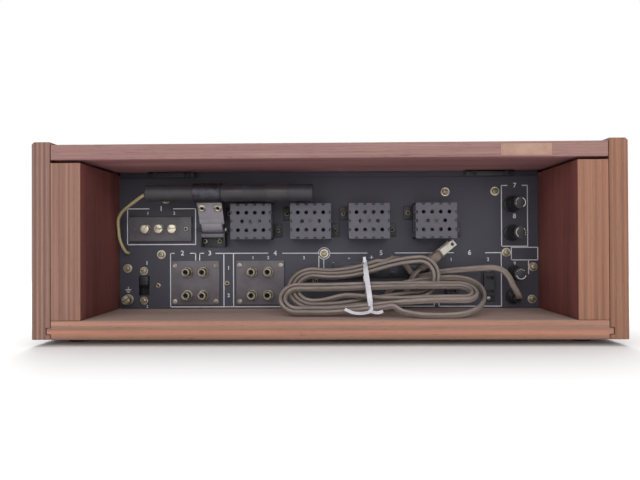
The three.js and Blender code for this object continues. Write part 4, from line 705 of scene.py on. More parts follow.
def moulded(name, colour, worn, roughness=0.38, height=0.00002):
    return painted(name, colour, worn, roughness, grain=1500.0, height=height, cloud=60.0)


ZINC = plated("zinc_plate", (208, 200, 184), (148, 136, 114), 0.38)
NICKEL = plated("nickel_plate", (186, 182, 172), (140, 132, 116), 0.3)
BRASS = plated("brass_screw", (182, 172, 150), (132, 120, 96), 0.46)
TIN = plated("dull_tin", (168, 164, 156), (122, 112, 98), 0.42)
SCREEN_INK = painted("screen_ink", (226, 226, 228), (196, 196, 200), 0.55)
PANEL_PAINT = painted("panel_paint", (53, 53, 63), (66, 65, 76), 0.46, cloud=9.0)
COVER_PAINT = painted("cover_paint", (88, 87, 96), (101, 99, 107), 0.6, grain=1500.0, height=0.0002)
PHENOLIC = moulded("phenolic_board", (104, 99, 105), (90, 85, 91), 0.45)
JACK_METAL = plated("jack_metal", (158, 151, 138), (108, 101, 90), 0.46)
SLEEVE_METAL = plated("sleeve_metal", (80, 79, 86), (60, 59, 64), 0.42, (2600.0, 60.0, 60.0))
OUTLET = moulded("outlet_block", (45, 45, 52), (56, 56, 63), 0.5)
PLUG_VINYL = moulded("plug_vinyl", (112, 99, 90), (138, 125, 114), 0.5)
PAPER_TAPE = painted("paper_tape", (180, 145, 130), (162, 124, 110), 0.7, grain=1200.0, height=0.00008, cloud=60.0)
STRIP = moulded("strip_board", (96, 93, 99), (80, 77, 83), 0.5)
BLACK = moulded("black_plastic", (26, 26, 29), (40, 40, 44), 0.34)
# Near-black for the insides of holes, slots, sockets and the switch case: painted shade where light doesn't reach. The
# tuning drum inside takes it as its own dark colour.
DARK_AND_PAINTED_SHADE = moulded("dark_and_painted_shade", (12, 12, 13), (20, 20, 22), 0.6)
BLACK_METAL = painted("blackened_steel", (40, 41, 46), (66, 66, 70), 0.42, cloud=40.0, metallic=0.3)
ARM_METAL = painted("arm_metal", (150, 147, 154), (132, 129, 136), 0.4, grain=900.0, cloud=30.0)
# The arm's grey made darker for the knuckle and the hinge's strip: painted shade under the arm's plate.
ARM_METAL_PAINTED_SHADE = painted("arm_metal_painted_shade", (100, 98, 105), (86, 84, 90), 0.42, grain=900.0, cloud=30.0)
TUBE = moulded("antenna_tube", (48, 46, 52), (58, 56, 62), 0.4)
TAPE_GLOSS = moulded("tape_wrap", (50, 47, 52), (63, 60, 66), 0.28)
WHITE_PLASTIC = moulded("white_plastic", (240, 240, 244), (214, 214, 224), 0.35)
RUBBER = painted("foot_rubber", (34, 33, 33), (52, 50, 49), 0.8, grain=900.0, height=0.0001)
print("hard finishes:", len(bpy.data.materials))

# %% [markdown]
# ## Turned shapes
# Screws, jacks, fuse posts and knobs are turned, so each is a profile of [radius, reach] spun once
# round the viewer's axis. The spin is told to merge its ends.

# %% Turned shapes and blocks
def lathed(profile, finish=0, sides=24):
    """Spins a profile of (radius, reach towards the viewer) round the y axis."""
    bm = bmesh.new()
    verts = [bm.verts.new((radius, -reach, 0)) for radius, reach in profile]
    edges = [bm.edges.new(pair) for pair in zip(verts, verts[1:])]
    bmesh.ops.spin(bm, geom=verts + edges, cent=(0, 0, 0), axis=(0, 1, 0), dvec=(0, 0, 0),
                   angle=2 * math.pi, steps=sides, use_merge=True, use_duplicate=False)
    return closed(bm, finish)


def block(width, reach, height, finish=0, edge=0.0, segments=2):
    """A block that stands on the panel and reaches towards the viewer, with rounded edges."""
    bm = bmesh.new()
    bmesh.ops.create_cube(bm, size=1.0, matrix=at(0, 0, reach / 2) @ Matrix.Diagonal((width, reach, height, 1)))
    if edge:
        bmesh.ops.bevel(bm, geom=bm.edges[:], offset=edge, offset_type="OFFSET", segments=segments, profile=0.5,
                        affect="EDGES", material=-1, clamp_overlap=True)
    return closed(bm, finish)


def eyelet(radius, height, finish=0, dark=1):
    """A hollow rivet: a rolled rim round a hole whose floor is a dark disc of painted shade."""
    bm = lathed([(0.38 * radius, 0), (radius, 0), (radius, 0.3 * height), (0.85 * radius, 0.8 * height),
                 (0.62 * radius, height), (0.44 * radius, 0.7 * height), (0.38 * radius, 0)], finish, 16)
    return put(bm, lathed([(0, 0), (0.4 * radius, 0), (0.4 * radius, 0.15 * height), (0, 0.15 * height)], dark, 12))


def head_sectors(radius, height, floor, slot, cuts, finish):
    """The parts of a screw head that a slot, or two crossed slots, leave standing."""
    bm = bmesh.new()
    corners = [(sx, sz) for sx in (-1, 1) for sz in ((-1, 1) if cuts == 2 else (0,))]
    for sx, sz in corners:
        part = bmesh.new()
        bmesh.ops.create_circle(part, cap_ends=True, segments=24, radius=radius,
                                matrix=at(0, 0, floor) @ Matrix.Rotation(math.pi / 2, 4, "X"))
        for direction in (Vector((sx, 0, 0)), Vector((0, 0, sz)))[:cuts]:
            bmesh.ops.bisect_plane(part, geom=part.verts[:] + part.edges[:] + part.faces[:], dist=0.0001,
                                   plane_co=direction * slot / 2, plane_no=direction, clear_inner=True)
        raised = bmesh.ops.extrude_face_region(part, geom=part.faces[:])["geom"]
        verts = [item for item in raised if isinstance(item, bmesh.types.BMVert)]
        bmesh.ops.translate(part, vec=(0, floor - height, 0), verts=verts)
        top = [edge for edge in part.edges if all(vert in verts for vert in edge.verts)]
        bmesh.ops.bevel(part, geom=top, offset=0.12 * radius, offset_type="OFFSET", segments=2, profile=0.5,
                        affect="EDGES", material=-1, clamp_overlap=True)
        put(bm, closed(part, finish))
    return bm


def slotted_head(radius, height, finish=0, slot=1.3):
    floor = 0.55 * height
    bm = lathed([(0, 0), (radius, 0), (radius, floor), (0, floor)], finish)
    return put(bm, head_sectors(radius, height, floor, slot, 1, finish))


def crossed_head(radius, height, finish=0, slot=1.0):
    """A pan head with a crossed recess: quarters inside a ring, on a disc."""
    inner, floor = 0.6 * radius, 0.35 * height
    bm = lathed([(0, 0), (inner, 0), (inner, floor), (0, floor)], finish)
    put(bm, lathed([(inner, 0), (radius, 0), (radius, 0.5 * height), (0.86 * radius, 0.88 * height),
                    (inner, height), (inner, 0)], finish))
    return put(bm, head_sectors(inner, height, floor, slot, 2, finish))


def washer(radius, thickness, finish=0):
    edge = 0.3 * thickness
    return lathed([(0, 0), (radius, 0), (radius, thickness - edge), (radius - edge, thickness), (0, thickness)], finish)


def turn_by(degrees):
    return Matrix.Rotation(math.radians(degrees), 4, "Y")


# %% [markdown]
# ## The rear panel
# The panel is one flat sheet, painted blue-black. A cube is cut by four planes so that one of its
# faces is the level switch's slot, and the slot's two faces give way to a bridge. The switch's
# case stands behind it.

# %% Panel sheet
PANEL_HALF, PANEL_LOW, PANEL_HIGH = 202.9, 16.0, 142.5
SLOT = (-178.8, 38.1, 10.3, 19.0)


def panel_sheet():
    x, z, width, height = SLOT
    bm = bmesh.new()
    bmesh.ops.create_cube(bm, size=1.0, matrix=at(0, (PANEL_LOW + PANEL_HIGH) / 2, -0.6)
                          @ Matrix.Diagonal((2 * PANEL_HALF, 1.2, PANEL_HIGH - PANEL_LOW, 1)))
    for place, normal in (((x - width / 2, 0, 0), (1, 0, 0)), ((x + width / 2, 0, 0), (1, 0, 0)),
                          ((0, 0, z - height / 2), (0, 0, 1)), ((0, 0, z + height / 2), (0, 0, 1))):
        bmesh.ops.bisect_plane(bm, geom=bm.verts[:] + bm.edges[:] + bm.faces[:], dist=0.0001,
                               plane_co=place, plane_no=normal)
    slot = [face for face in bm.faces if abs(face.normal.y) > 0.9
            and abs(face.calc_center_median().x - x) < width / 2 and abs(face.calc_center_median().z - z) < height / 2]
    rims = [edge for face in slot for edge in face.edges]
    bmesh.ops.delete(bm, geom=slot, context="FACES_ONLY")
    bmesh.ops.bridge_loops(bm, edges=rims)
    return closed(bm)


def switch_case():
    x, z, width, height = SLOT
    bm = bmesh.new()
    bmesh.ops.create_cube(bm, size=1.0, matrix=at(x, z, -4.8) @ Matrix.Diagonal((width + 3, 7.0, height + 3, 1)))
    mouth = min(bm.faces, key=lambda face: face.calc_center_median().y)
    bmesh.ops.inset_region(bm, faces=[mouth], thickness=1.6)
    pushed = bmesh.ops.extrude_face_region(bm, geom=[mouth])["geom"]
    verts = [item for item in pushed if isinstance(item, bmesh.types.BMVert)]
    bmesh.ops.translate(bm, vec=(0, 5.5, 0), verts=verts)
    bmesh.ops.delete(bm, geom=[mouth], context="FACES_ONLY")
    # The case is near-black: painted shade seen through the slot.
    return closed(bm, 1)


panel = panel_sheet()
put(panel, switch_case())
for x in (-71.2, -15.5, 39.0, 101.0):
    put(panel, lathed([(0, 0), (11, 0), (11, 1.6), (8.6, 2.2), (8.2, 6.6), (7.2, 7.8), (0, 8.1)], 2), at(x, 99.4))
add_piece("rear_panel_sheet", panel, [PANEL_PAINT, DARK_AND_PAINTED_SHADE, NICKEL], "receiver", REAR,
          replaces=("rear_panel",))

# %% [markdown]
# Nine bolts with washers hold the panel. Each is turned by a different angle, as screws are, and
# the ground terminal is a taller screw with a slot for a bare wire. Behind the panel's upper edge
# the chassis has a flange of the same paint, which closes the gap below the cabinet's top.

# %% Bolts, rivets and the ground screw
BOLTS = [(-194.8, 55.1), (-161.7, 68.5), (-3.2, 68.9), (113.8, 127.8), (161.5, 128.2), (172.1, 69.3),
         (197.6, 55.3), (196.4, 24.3), (-157.0, 122.2)]
SMALL_RIVETS = [(-165.0, 38.3), (-97.6, 40.2)]
GROUND = (-194.4, 24.7)
screws = bmesh.new()
put(screws, washer(4.3, 0.8), *(at(x, z) for x, z in BOLTS))
for index, (x, z) in enumerate(BOLTS):
    put(screws, crossed_head(3.0, 2.7, 1), at(x, z, 0.8) @ turn_by(23 + 37 * index))
for side in (-1, 1):
    place = at(SLOT[0], SLOT[1] + side * 14.4)
    put(screws, washer(3.9, 0.7), place)
    put(screws, crossed_head(2.9, 2.2, 1), place @ at(0, 0, 0.7) @ turn_by(30 * side))
put(screws, eyelet(2.6, 1.1, 1, 2), *(at(x, z) for x, z in SMALL_RIVETS))
put(screws, washer(5.2, 0.9), at(*GROUND))
put(screws, lathed([(0, 0), (2.6, 0), (2.6, 3.4), (0, 3.4)], 1), at(*GROUND, 0.8))
put(screws, slotted_head(4.3, 3.6, 1, 1.2), at(*GROUND, 4.0) @ turn_by(55))
add_piece("panel_screws", screws, [ZINC, BRASS, DARK_AND_PAINTED_SHADE], "receiver", REAR)
flange = block(2 * PANEL_HALF, 1.2, 8.4, 0, 0.2)
bmesh.ops.transform(flange, matrix=at(0, 144.1, -2.6), verts=flange.verts)
add_piece("chassis_flange", flange, [PANEL_PAINT], "receiver", REAR)

# %% [markdown]
# ## Screen printing
# White lines frame the groups of sockets. They are thin raised strips, so they stay sharp at any
# size. Plain numbers and signs tell the groups and the sockets apart.

# %% Printed lines and numbers
INK = 0.07
PRINT_LINES = [
    # left, low, right, high of each line's middle, in millimetres
    (-195.0, 113.1, -174.1, 113.1), (-149.9, 113.0, -128.3, 113.0), (-195.0, 78.2, -128.3, 78.2),
    (-195.0, 78.2, -195.0, 113.1), (-128.3, 78.2, -128.3, 113.0),
    (-152.9, 69.6, -149.3, 69.6), (-133.3, 69.6, -128.3, 69.6), (-152.9, 17.4, -152.9, 69.6),
    (-128.3, 62.0, -128.3, 69.6), (-124.4, 62.0, -124.4, 69.6), (-124.4, 69.5, -120.5, 69.5),
    (-108.5, 69.4, -57.9, 69.4), (-100.8, 17.4, -100.8, 69.4), (-91.4, 17.4, -91.4, 69.4),
    (-43.4, 69.2, -8.3, 69.2), (-152.9, 17.4, -8.4, 17.4), (-8.4, 54.0, -8.4, 69.2), (-3.6, 54.0, -3.6, 63.0),
    (2.0, 69.1, 38.1, 69.1), (65.7, 69.1, 121.5, 69.1), (152.4, 69.0, 167.3, 69.0), (25.5, 17.6, 103.0, 17.6),
    (167.3, 17.5, 167.3, 69.0), (107.3, 17.5, 167.3, 17.5), (102.8, 17.6, 102.8, 25.2), (107.3, 17.5, 107.3, 25.2),
    (167.8, 133.7, 173.2, 133.7), (187.9, 133.7, 192.7, 133.7), (167.8, 75.1, 192.7, 75.1),
    (167.8, 75.1, 167.8, 133.7), (192.7, 75.1, 192.7, 133.7), (193.4, 48.5, 193.4, 61.9),
    (177.0, 61.9, 202.3, 61.9), (177.0, 74.0, 202.3, 74.0), (177.0, 61.9, 177.0, 74.0), (202.3, 61.9, 202.3, 74.0),
]
THIN_LINES = [(5.3, 59.9, 98.0, 59.9)]
PRINT_MARKS = [
    ("1", -162.0, 113.0, 4.6), ("1", -175.0, 108.6, 3.0), ("2", -149.2, 108.6, 3.0),
    ("2", -141.3, 69.6, 4.6), ("3", -114.5, 69.5, 4.6), ("4", -50.7, 69.2, 4.6), ("5", 51.9, 69.1, 4.6),
    ("6", 137.0, 69.0, 4.6), ("7", 180.6, 133.7, 4.4), ("8", 180.2, 104.0, 4.4), ("9", 180.2, 58.4, 3.4),
    ("1", -72.4, 64.9, 3.0), ("2", -57.6, 64.9, 3.0), ("3", -22.8, 64.7, 3.0), ("1", -96.2, 55.1, 3.4),
    ("2", -96.2, 28.4, 3.4), ("1", -176.0, 60.2, 3.4), ("2", -175.7, 17.9, 2.4),
    ("-", 20.8, 64.6, 4.4), ("+", 42.6, 64.6, 4.4), ("+", 62.4, 64.5, 4.4), ("-", 84.2, 64.5, 4.4),
    ("1", 119.3, 62.5, 3.2), ("2", 154.7, 62.5, 3.2),
]


def printed_line(bm, line, width):
    left, low, right, high = line
    size = (max(right - left, 0) + width, INK, max(high - low, 0) + width)
    bmesh.ops.create_cube(bm, size=1.0, matrix=at((left + right) / 2, (low + high) / 2, INK / 2 + 0.02)
                          @ Matrix.Diagonal((*size, 1)))


def printed_text(text, size, thickness=INK):
    """A number made a mesh, standing in x and z and facing the viewer."""
    curve = bpy.data.curves.new("number", "FONT")
    curve.body = text
    curve.size = size
    curve.align_x, curve.align_y = "CENTER", "CENTER"
    curve.extrude = thickness / 2
    curve.offset = 0.02 * size
    curve.resolution_u = 3
    carrier = bpy.data.objects.new("number", curve)
    mesh = bpy.data.meshes.new_from_object(carrier)
    bm = bmesh.new()
    bm.from_mesh(mesh)
    bmesh.ops.transform(bm, matrix=at(0, 0, thickness / 2) @ Matrix.Rotation(math.pi / 2, 4, "X"), verts=bm.verts)
    bpy.data.objects.remove(carrier)
    bpy.data.curves.remove(curve)
    bpy.data.meshes.remove(mesh)
    return closed(bm)


ink = bmesh.new()
for line in PRINT_LINES:
    printed_line(ink, line, 0.85)
for line in THIN_LINES:
    printed_line(ink, line, 0.45)
for text, x, z, size in PRINT_MARKS:
    put(ink, printed_text(text, 1.4 * size), at(x, z, 0.02))
for index, half in enumerate((2.6, 1.7, 0.8)):
    printed_line(ink, (-194.4 - half, 34.4 - 1.3 * index, -194.4 + half, 34.4 - 1.3 * index), 0.5)
printed_line(ink, (-194.4, 34.4, -194.4, 36.8), 0.5)
put(ink, lathed([(5.2, 0), (5.9, 0), (5.9, INK), (5.2, INK), (5.2, 0)], 0, 48), at(-3.2, 68.9, 0.02))
add_piece("panel_print", ink, [SCREEN_INK], "receiver", REAR)

# %% [markdown]
# ## Transistor covers
# Four folded covers of perforated steel shield the output transistors. The holes come in staggered
# rows and run on round the bends. The sheet is laid out flat, from square cells that each hold a
# ring round one hole; then it is folded along four lines and given its thickness.

# %% Perforated sheet
HOLE, CELL = 1.85, 3.95
ROW, ROW_HALF = 8.1, 4.05
FOLD_X, FOLD_Z = 19.0, 16.5
COVER_REACH, SHEET = 22.0, 1.0


def square_point(angle):
    """Where a ray leaves a square of half side 1, for the corners and the points between them."""
    turn = (angle / (math.pi / 2) + 0.5) % 4
    along = 2 * (turn - math.floor(turn)) - 1
    return ((1, along), (-along, 1), (-1, -along), (along, -1))[int(turn)]


def holed_cell(bm, x, z, half_x, half_z, radius=HOLE):
    place = Matrix.Translation((x, z, 0))
    ring = bmesh.ops.create_circle(bm, cap_ends=False, segments=16, radius=radius, matrix=place)["verts"]
    edges = list({edge for vert in ring for edge in vert.link_edges})
    made = bmesh.ops.extrude_edge_only(bm, edges=edges)["geom"]
    for vert in made:
        if isinstance(vert, bmesh.types.BMVert):
            across, up = square_point(math.atan2(vert.co.y - z, vert.co.x - x))
            vert.co = (x + half_x * across, z + half_z * up, 0)


def plain_cell(bm, low_x, high_x, low_z, high_z, parts_x, parts_z):
    size = Matrix.Diagonal(((high_x - low_x) / 2, (high_z - low_z) / 2, 1, 1))
    bmesh.ops.create_grid(bm, x_segments=parts_x, y_segments=parts_z, size=1.0,
                          matrix=Matrix.Translation(((low_x + high_x) / 2, (low_z + high_z) / 2, 0)) @ size)


def flat_cover():
    """One quarter-turned pattern of cells, laid out for both signs of x and z."""
    bm = bmesh.new()
    inner, outer = 4 * CELL, 2 * FOLD_X - 4 * CELL
    low_bend, high_bend = ROW + ROW_HALF, 2 * FOLD_Z - ROW - ROW_HALF
    far_x, far_z = FOLD_X + COVER_REACH, FOLD_Z + COVER_REACH
    for sz in (-1, 1):
        for sx in (-1, 1):
            for x in (CELL, 3 * CELL):
                holed_cell(bm, sx * x, sz * ROW, CELL, ROW_HALF)
                holed_cell(bm, sx * x, sz * FOLD_Z, CELL, FOLD_Z - low_bend)
                holed_cell(bm, sx * x, sz * (high_bend + 3 * ROW_HALF), CELL, ROW_HALF)
            holed_cell(bm, sx * FOLD_X, sz * ROW, FOLD_X - inner, ROW_HALF)
            holed_cell(bm, sx * FOLD_X, sz * FOLD_Z, FOLD_X - inner, FOLD_Z - low_bend, 0.7)
            for x in (outer + CELL, outer + 3 * CELL):
                holed_cell(bm, sx * x, sz * ROW, CELL, ROW_HALF)
            holed_cell(bm, sx * 2 * CELL, sz * (high_bend + ROW_HALF), CELL, ROW_HALF)
            last = outer + 4 * CELL
            for low_x, high_x, low_z, high_z, parts_x, parts_z in (
                    (last, far_x, ROW - ROW_HALF, low_bend, 1, 4),
                    (outer, last, low_bend, FOLD_Z, 8, 2), (last, far_x, low_bend, FOLD_Z, 1, 2),
                    (3 * CELL, inner, high_bend, high_bend + 2 * ROW_HALF, 2, 4),
                    (inner, FOLD_X, high_bend, high_bend + 2 * ROW_HALF, 2, 4),
                    (inner, FOLD_X, high_bend + 2 * ROW_HALF, high_bend + 4 * ROW_HALF, 2, 4),
                    (0.0, inner, high_bend + 4 * ROW_HALF, far_z, 8, 1),
                    (inner, FOLD_X, high_bend + 4 * ROW_HALF, far_z, 2, 1)):
                plain_cell(bm, *sorted((sx * low_x, sx * high_x)), *sorted((sz * low_z, sz * high_z)),
                           parts_x, parts_z)
        holed_cell(bm, 0.0, sz * (high_bend + ROW_HALF), CELL, ROW_HALF)
        holed_cell(bm, sz * 2 * CELL, 0.0, CELL, ROW_HALF)
        holed_cell(bm, sz * FOLD_X, 0.0, FOLD_X - inner, ROW_HALF)
        holed_cell(bm, sz * (outer + 2 * CELL), 0.0, CELL, ROW_HALF)
        for low_x, high_x, parts_x in ((3 * CELL, inner, 2), (outer, outer + CELL, 2),
                                       (outer + 3 * CELL, outer + 4 * CELL, 2), (outer + 4 * CELL, far_x, 1)):
            plain_cell(bm, *sorted((sz * low_x, sz * high_x)), -ROW_HALF, ROW_HALF, parts_x, 4)
    holed_cell(bm, 0.0, 0.0, CELL, ROW_HALF)
    bmesh.ops.remove_doubles(bm, verts=bm.verts, dist=0.01)
    return bm


def folded_cover():
    bm = flat_cover()
    spare = [face for face in bm.faces if abs(face.calc_center_median().x) > FOLD_X
             and abs(face.calc_center_median().y) > FOLD_Z]
    bmesh.ops.delete(bm, geom=spare, context="FACES")
    for vert in bm.verts:
        x, z = vert.co.x, vert.co.y
        depth = max(abs(x) - FOLD_X, 0) + max(abs(z) - FOLD_Z, 0)
        vert.co = (max(min(x, FOLD_X), -FOLD_X), depth - COVER_REACH, max(min(z, FOLD_Z), -FOLD_Z))
    bmesh.ops.recalc_face_normals(bm, faces=bm.faces)
    bm.normal_update()
    front = min(bm.faces, key=lambda face: face.calc_center_median().y)
    if front.normal.y > 0:
        bmesh.ops.reverse_faces(bm, faces=bm.faces[:])
    bmesh.ops.solidify(bm, geom=bm.faces[:], thickness=SHEET)
    if bm.calc_volume(signed=True) < 0:
        bmesh.ops.reverse_faces(bm, faces=bm.faces[:])
    return bm


TAB_X, TAB_Z = 23.4, 8.2
cover = folded_cover()
print("cover:", len(cover.faces), "faces, open edges:", sum(not edge.is_manifold for edge in cover.edges),
      "box", [[round(op(vert.co[k] for vert in cover.verts), 1) for k in range(3)] for op in (min, max)])
for side in (-1, 1):
    put(cover, block(9.4, 1.0, 13.0, 3, 0.5), at(side * (TAB_X - 0.6), -side * TAB_Z, 0.3))
    put(cover, block(1.0, 6.0, 13.0, 3, 0.3), at(side * (FOLD_X - 0.2), -side * TAB_Z, 0.3))
shape = bpy.data.meshes.new("cover")
cover.to_mesh(shape)
cover.free()
for index, x in enumerate((-71.2, -15.5, 39.0, 101.0)):
    copy = bmesh.new()
    copy.from_mesh(shape)
    for side in (-1, 1):
        put(copy, eyelet(2.7, 1.4, 4 if side < 0 else 1, 2), at(side * TAB_X, -side * TAB_Z, 1.3))
    bmesh.ops.transform(copy, matrix=at(x, 99.4), verts=copy.verts)
    add_piece(f"transistor_cover_{index + 1}_sheet", copy, [COVER_PAINT, TIN, DARK_AND_PAINTED_SHADE, BLACK_METAL, ZINC],
              "receiver", REAR, replaces=(f"transistor_cover_{index + 1}",), sharp=40)
bpy.data.meshes.remove(shape)

# %% [markdown]
# ## Terminals and jacks
# The antenna terminals are three big slotted screws on a strip. Their heads stand well clear of
# their washers, so that a wire's fork fits below. A jack is a turned metal ring round a deep hole;
# its plate is riveted on at the corners.

# %% Antenna terminals and jack plates
STRIP_X, STRIP_Z = -162.05, 93.2
strip = block(60.9, 3.0, 23.6, 0, 0.4)
put(strip, lathed([(0, 0), (2.2, 0), (2.0, 0.6), (1.2, 1.0), (0, 1.1)], 0, 20), at(-25.16, 0, 3.0))
put(strip, eyelet(2.35, 1.2, 1, 2), at(25.16, 0, 3.0))
for index, turn in enumerate((38, 92, 82)):
    place = at(13.08 * (index - 1), 0, 3.0)
    put(strip, washer(4.6, 0.8, 3), place)
    put(strip, lathed([(0, 0), (2.0, 0), (2.0, 3.0), (0, 3.0)], 1), place @ at(0, 0, 0.6))
    put(strip, slotted_head(4.2, 3.3, 1, 1.1), place @ at(0, 0, 3.2) @ turn_by(turn))
bmesh.ops.transform(strip, matrix=at(STRIP_X, STRIP_Z, 0.3), verts=strip.verts)
add_piece("antenna_terminal_strip", strip, [STRIP, ZINC, DARK_AND_PAINTED_SHADE, NICKEL], "receiver", REAR,
          replaces=("antenna_terminals",))


def jack(turn):
    """A phono jack: a collar, a tube with a rolled face, and a dark insulator deep inside, whose near-black also paints
    the hole's shade.
    """
    bm = lathed([(1.7, 0), (5.4, 0), (5.4, 1.0), (5.0, 1.4), (4.1, 1.4), (4.1, 7.6), (3.7, 8.3), (2.9, 8.4),
                 (2.2, 7.9), (1.9, 5.0), (1.7, 0)], 1, 32)
    put(bm, lathed([(0, 0), (2.1, 0), (2.1, 2.2), (0, 2.2)], 2, 16))
    bmesh.ops.transform(bm, matrix=turn_by(turn), verts=bm.verts)
    return bm


for name, node, x in (("phono_jack_plate", "phono_jacks", -128.2), ("tape_jack_plate", "tape_jacks", -65.3)):
    plate = block(46.5, 1.2, 42.6, 0, 0.3)
    bmesh.ops.translate(plate, vec=(0, 0, 0.9), verts=plate.verts)
    for sx in (-1, 1):
        for sz in (-1, 1):
            put(plate, jack(40 * sx * sz), at(7.8 * sx, 11.2 * sz, 1.2))
            put(plate, lathed([(0, 0), (2.5, 0), (2.3, 0.5), (1.7, 0.8), (1.2, 0.8), (0.9, 0.5), (0, 0.5)], 3, 20),
                at(19.95 * sx, 17.4 * sz, 1.2))
    bmesh.ops.transform(plate, matrix=at(x, 40.1, 0.3), verts=plate.verts)
    add_piece(name, plate, [PHENOLIC, JACK_METAL, DARK_AND_PAINTED_SHADE, TIN], "receiver", REAR, replaces=(node,))

# %% [markdown]
# The recorder socket is a bright pressed ring round a black face with five holes. The speaker
# strip carries four screws with flat clamps, and both outlets are black blocks with two slots.

# %% Round socket, speaker strip and outlets
def pocket(bm, x, z, width, height, depth, finish):
    """Cuts a rectangle into the faces that look at the viewer, and pushes it in."""
    for place, normal in (((x - width / 2, 0, 0), (1, 0, 0)), ((x + width / 2, 0, 0), (1, 0, 0)),
                          ((0, 0, z - height / 2), (0, 0, 1)), ((0, 0, z + height / 2), (0, 0, 1))):
        bmesh.ops.bisect_plane(bm, geom=bm.verts[:] + bm.edges[:] + bm.faces[:], dist=0.0001,
                               plane_co=place, plane_no=normal)
    low = min(vert.co.y for vert in bm.verts)
    inside = [face for face in bm.faces if face.normal.y < -0.9 and face.calc_center_median().y < low + 0.01
              and abs(face.calc_center_median().x - x) < width / 2
              and abs(face.calc_center_median().z - z) < height / 2]
    made = bmesh.ops.extrude_face_region(bm, geom=inside)["geom"]
    bmesh.ops.translate(bm, vec=(0, depth, 0), verts=[v for v in made if isinstance(v, bmesh.types.BMVert)])
    floor = [face for face in made if isinstance(face, bmesh.types.BMFace)]
    bmesh.ops.delete(bm, geom=inside, context="FACES_ONLY")
    for face in floor:
        face.material_index = finish
    return bm


din = block(27.0, 1.0, 19.0, 0, 0.4)
put(din, lathed([(7.6, 0), (8.6, 0), (8.6, 2.1), (8.3, 2.4), (7.9, 2.4), (7.6, 2.1), (7.6, 0)], 1, 40), at(0, 0, 0.6))
put(din, lathed([(0, 0), (7.7, 0), (7.7, 0.7), (0, 0.7)], 2, 40), at(0, 0, 0.9))
# The five holes are near-black discs on the face, painted shade rather than cut holes.
for angle in (0, 45, 90, 135, 180):
    place = turn_by(angle) @ at(5.0, 0, 1.5)
    put(din, lathed([(0, 0), (0.9, 0), (0.9, 0.15), (0, 0.15)], 3, 12), place)
put(din, block(2.2, 1.4, 1.4, 1, 0.2), at(0, -7.2, 1.2))
for side in (-1, 1):
    put(din, eyelet(1.9, 0.9, 1, 3), at(11.2 * side, 0, 0.9))
bmesh.ops.transform(din, matrix=at(-21.8, 42.4, 0.3), verts=din.verts)
add_piece("recorder_socket", din, [BLACK_METAL, NICKEL, BLACK, DARK_AND_PAINTED_SHADE], "receiver", REAR,
          replaces=("din_socket",))

speaker = block(92.0, 3.0, 14.6, 0, 0.4)
for index in range(4):
    x = 20.2 * (index - 1.5)
    put(speaker, block(11.6, 0.8, 9.4, 1, 0.2), at(x, 0, 2.9))
    put(speaker, slotted_head(4.0, 3.0, 1, 1.0), at(x, 0, 3.6) @ turn_by(15 + 47 * index))
for side in (-1, 1):
    put(speaker, eyelet(2.3, 1.1, 1, 2), at(43.0 * side, 0, 3.0))
bmesh.ops.transform(speaker, matrix=at(52.0, 52.8, 0.3), verts=speaker.verts)
add_piece("speaker_strip", speaker, [BLACK_METAL, SLEEVE_METAL, DARK_AND_PAINTED_SHADE], "receiver", REAR,
          replaces=("speaker_terminals",))

for name, node, x in (("switched_outlet", "ac_outlet_switched", 119.3),
                      ("unswitched_outlet", "ac_outlet_unswitched", 154.7)):
    outlet = block(13.0, 1.2, 33.0, 0, 0.4)
    body = block(10.4, 3.4, 22.4, 0, 0.5)
    # The slots' floors are near-black: painted shade deep in the slots.
    for side in (-1, 1):
        pocket(body, 0, 6.35 * side, 7.4, 2.8, 3.0, 1)
    put(outlet, body, at(0, 0, 0.6))
    for side in (-1, 1):
        put(outlet, lathed([(0, 0), (2.2, 0), (2.1, 0.6), (1.4, 1.1), (0, 1.3)], 2, 20), at(0, 13.2 * side, 1.1))
    bmesh.ops.transform(outlet, matrix=at(x, 38.6, 0.3), verts=outlet.verts)
    add_piece(name, outlet, [OUTLET, DARK_AND_PAINTED_SHADE, TIN], "receiver", REAR, replaces=(node,))

# %% [markdown]
# ## Fuses and level switch
# Each fuse sits in a turned post. Its cap has a ribbed side for the fingers, and white marks round
# its face. The cap comes off with the fuse, so it rides its own body.

# %% Fuse posts and caps
FUSES = [(177.4, 115.5), (177.4, 88.1), (177.4, 49.6)]
CAP_MARKS = [[(150, 185, 4), (200, 250, 4), (-70, 60, 1)], [(120, 240, 1), (-50, 45, 4)], [(15, 165, 1), (215, 325, 5)]]


def fluted(radius, start, end, count, depth, finish):
    """A ribbed barrel: a circle whose every second vertex is drawn in, pulled into a prism."""
    bm = bmesh.new()
    ring = bmesh.ops.create_circle(bm, cap_ends=True, segments=2 * count, radius=radius,
                                   matrix=at(0, 0, start) @ Matrix.Rotation(math.pi / 2, 4, "X"))["verts"]
    for index, vert in enumerate(ring):
        if index % 2:
            vert.co.x, vert.co.z = vert.co.x * (1 - depth / radius), vert.co.z * (1 - depth / radius)
    made = bmesh.ops.extrude_face_region(bm, geom=bm.faces[:])["geom"]
    top = [vert for vert in made if isinstance(vert, bmesh.types.BMVert)]
    bmesh.ops.translate(bm, vec=(0, start - end, 0), verts=top)
    rim = [edge for edge in bm.edges if all(vert in top for vert in edge.verts)]
    bmesh.ops.bevel(bm, geom=rim, offset=0.6, offset_type="OFFSET", segments=2, profile=0.5, affect="EDGES",
                    material=-1, clamp_overlap=True)
    return closed(bm, finish)


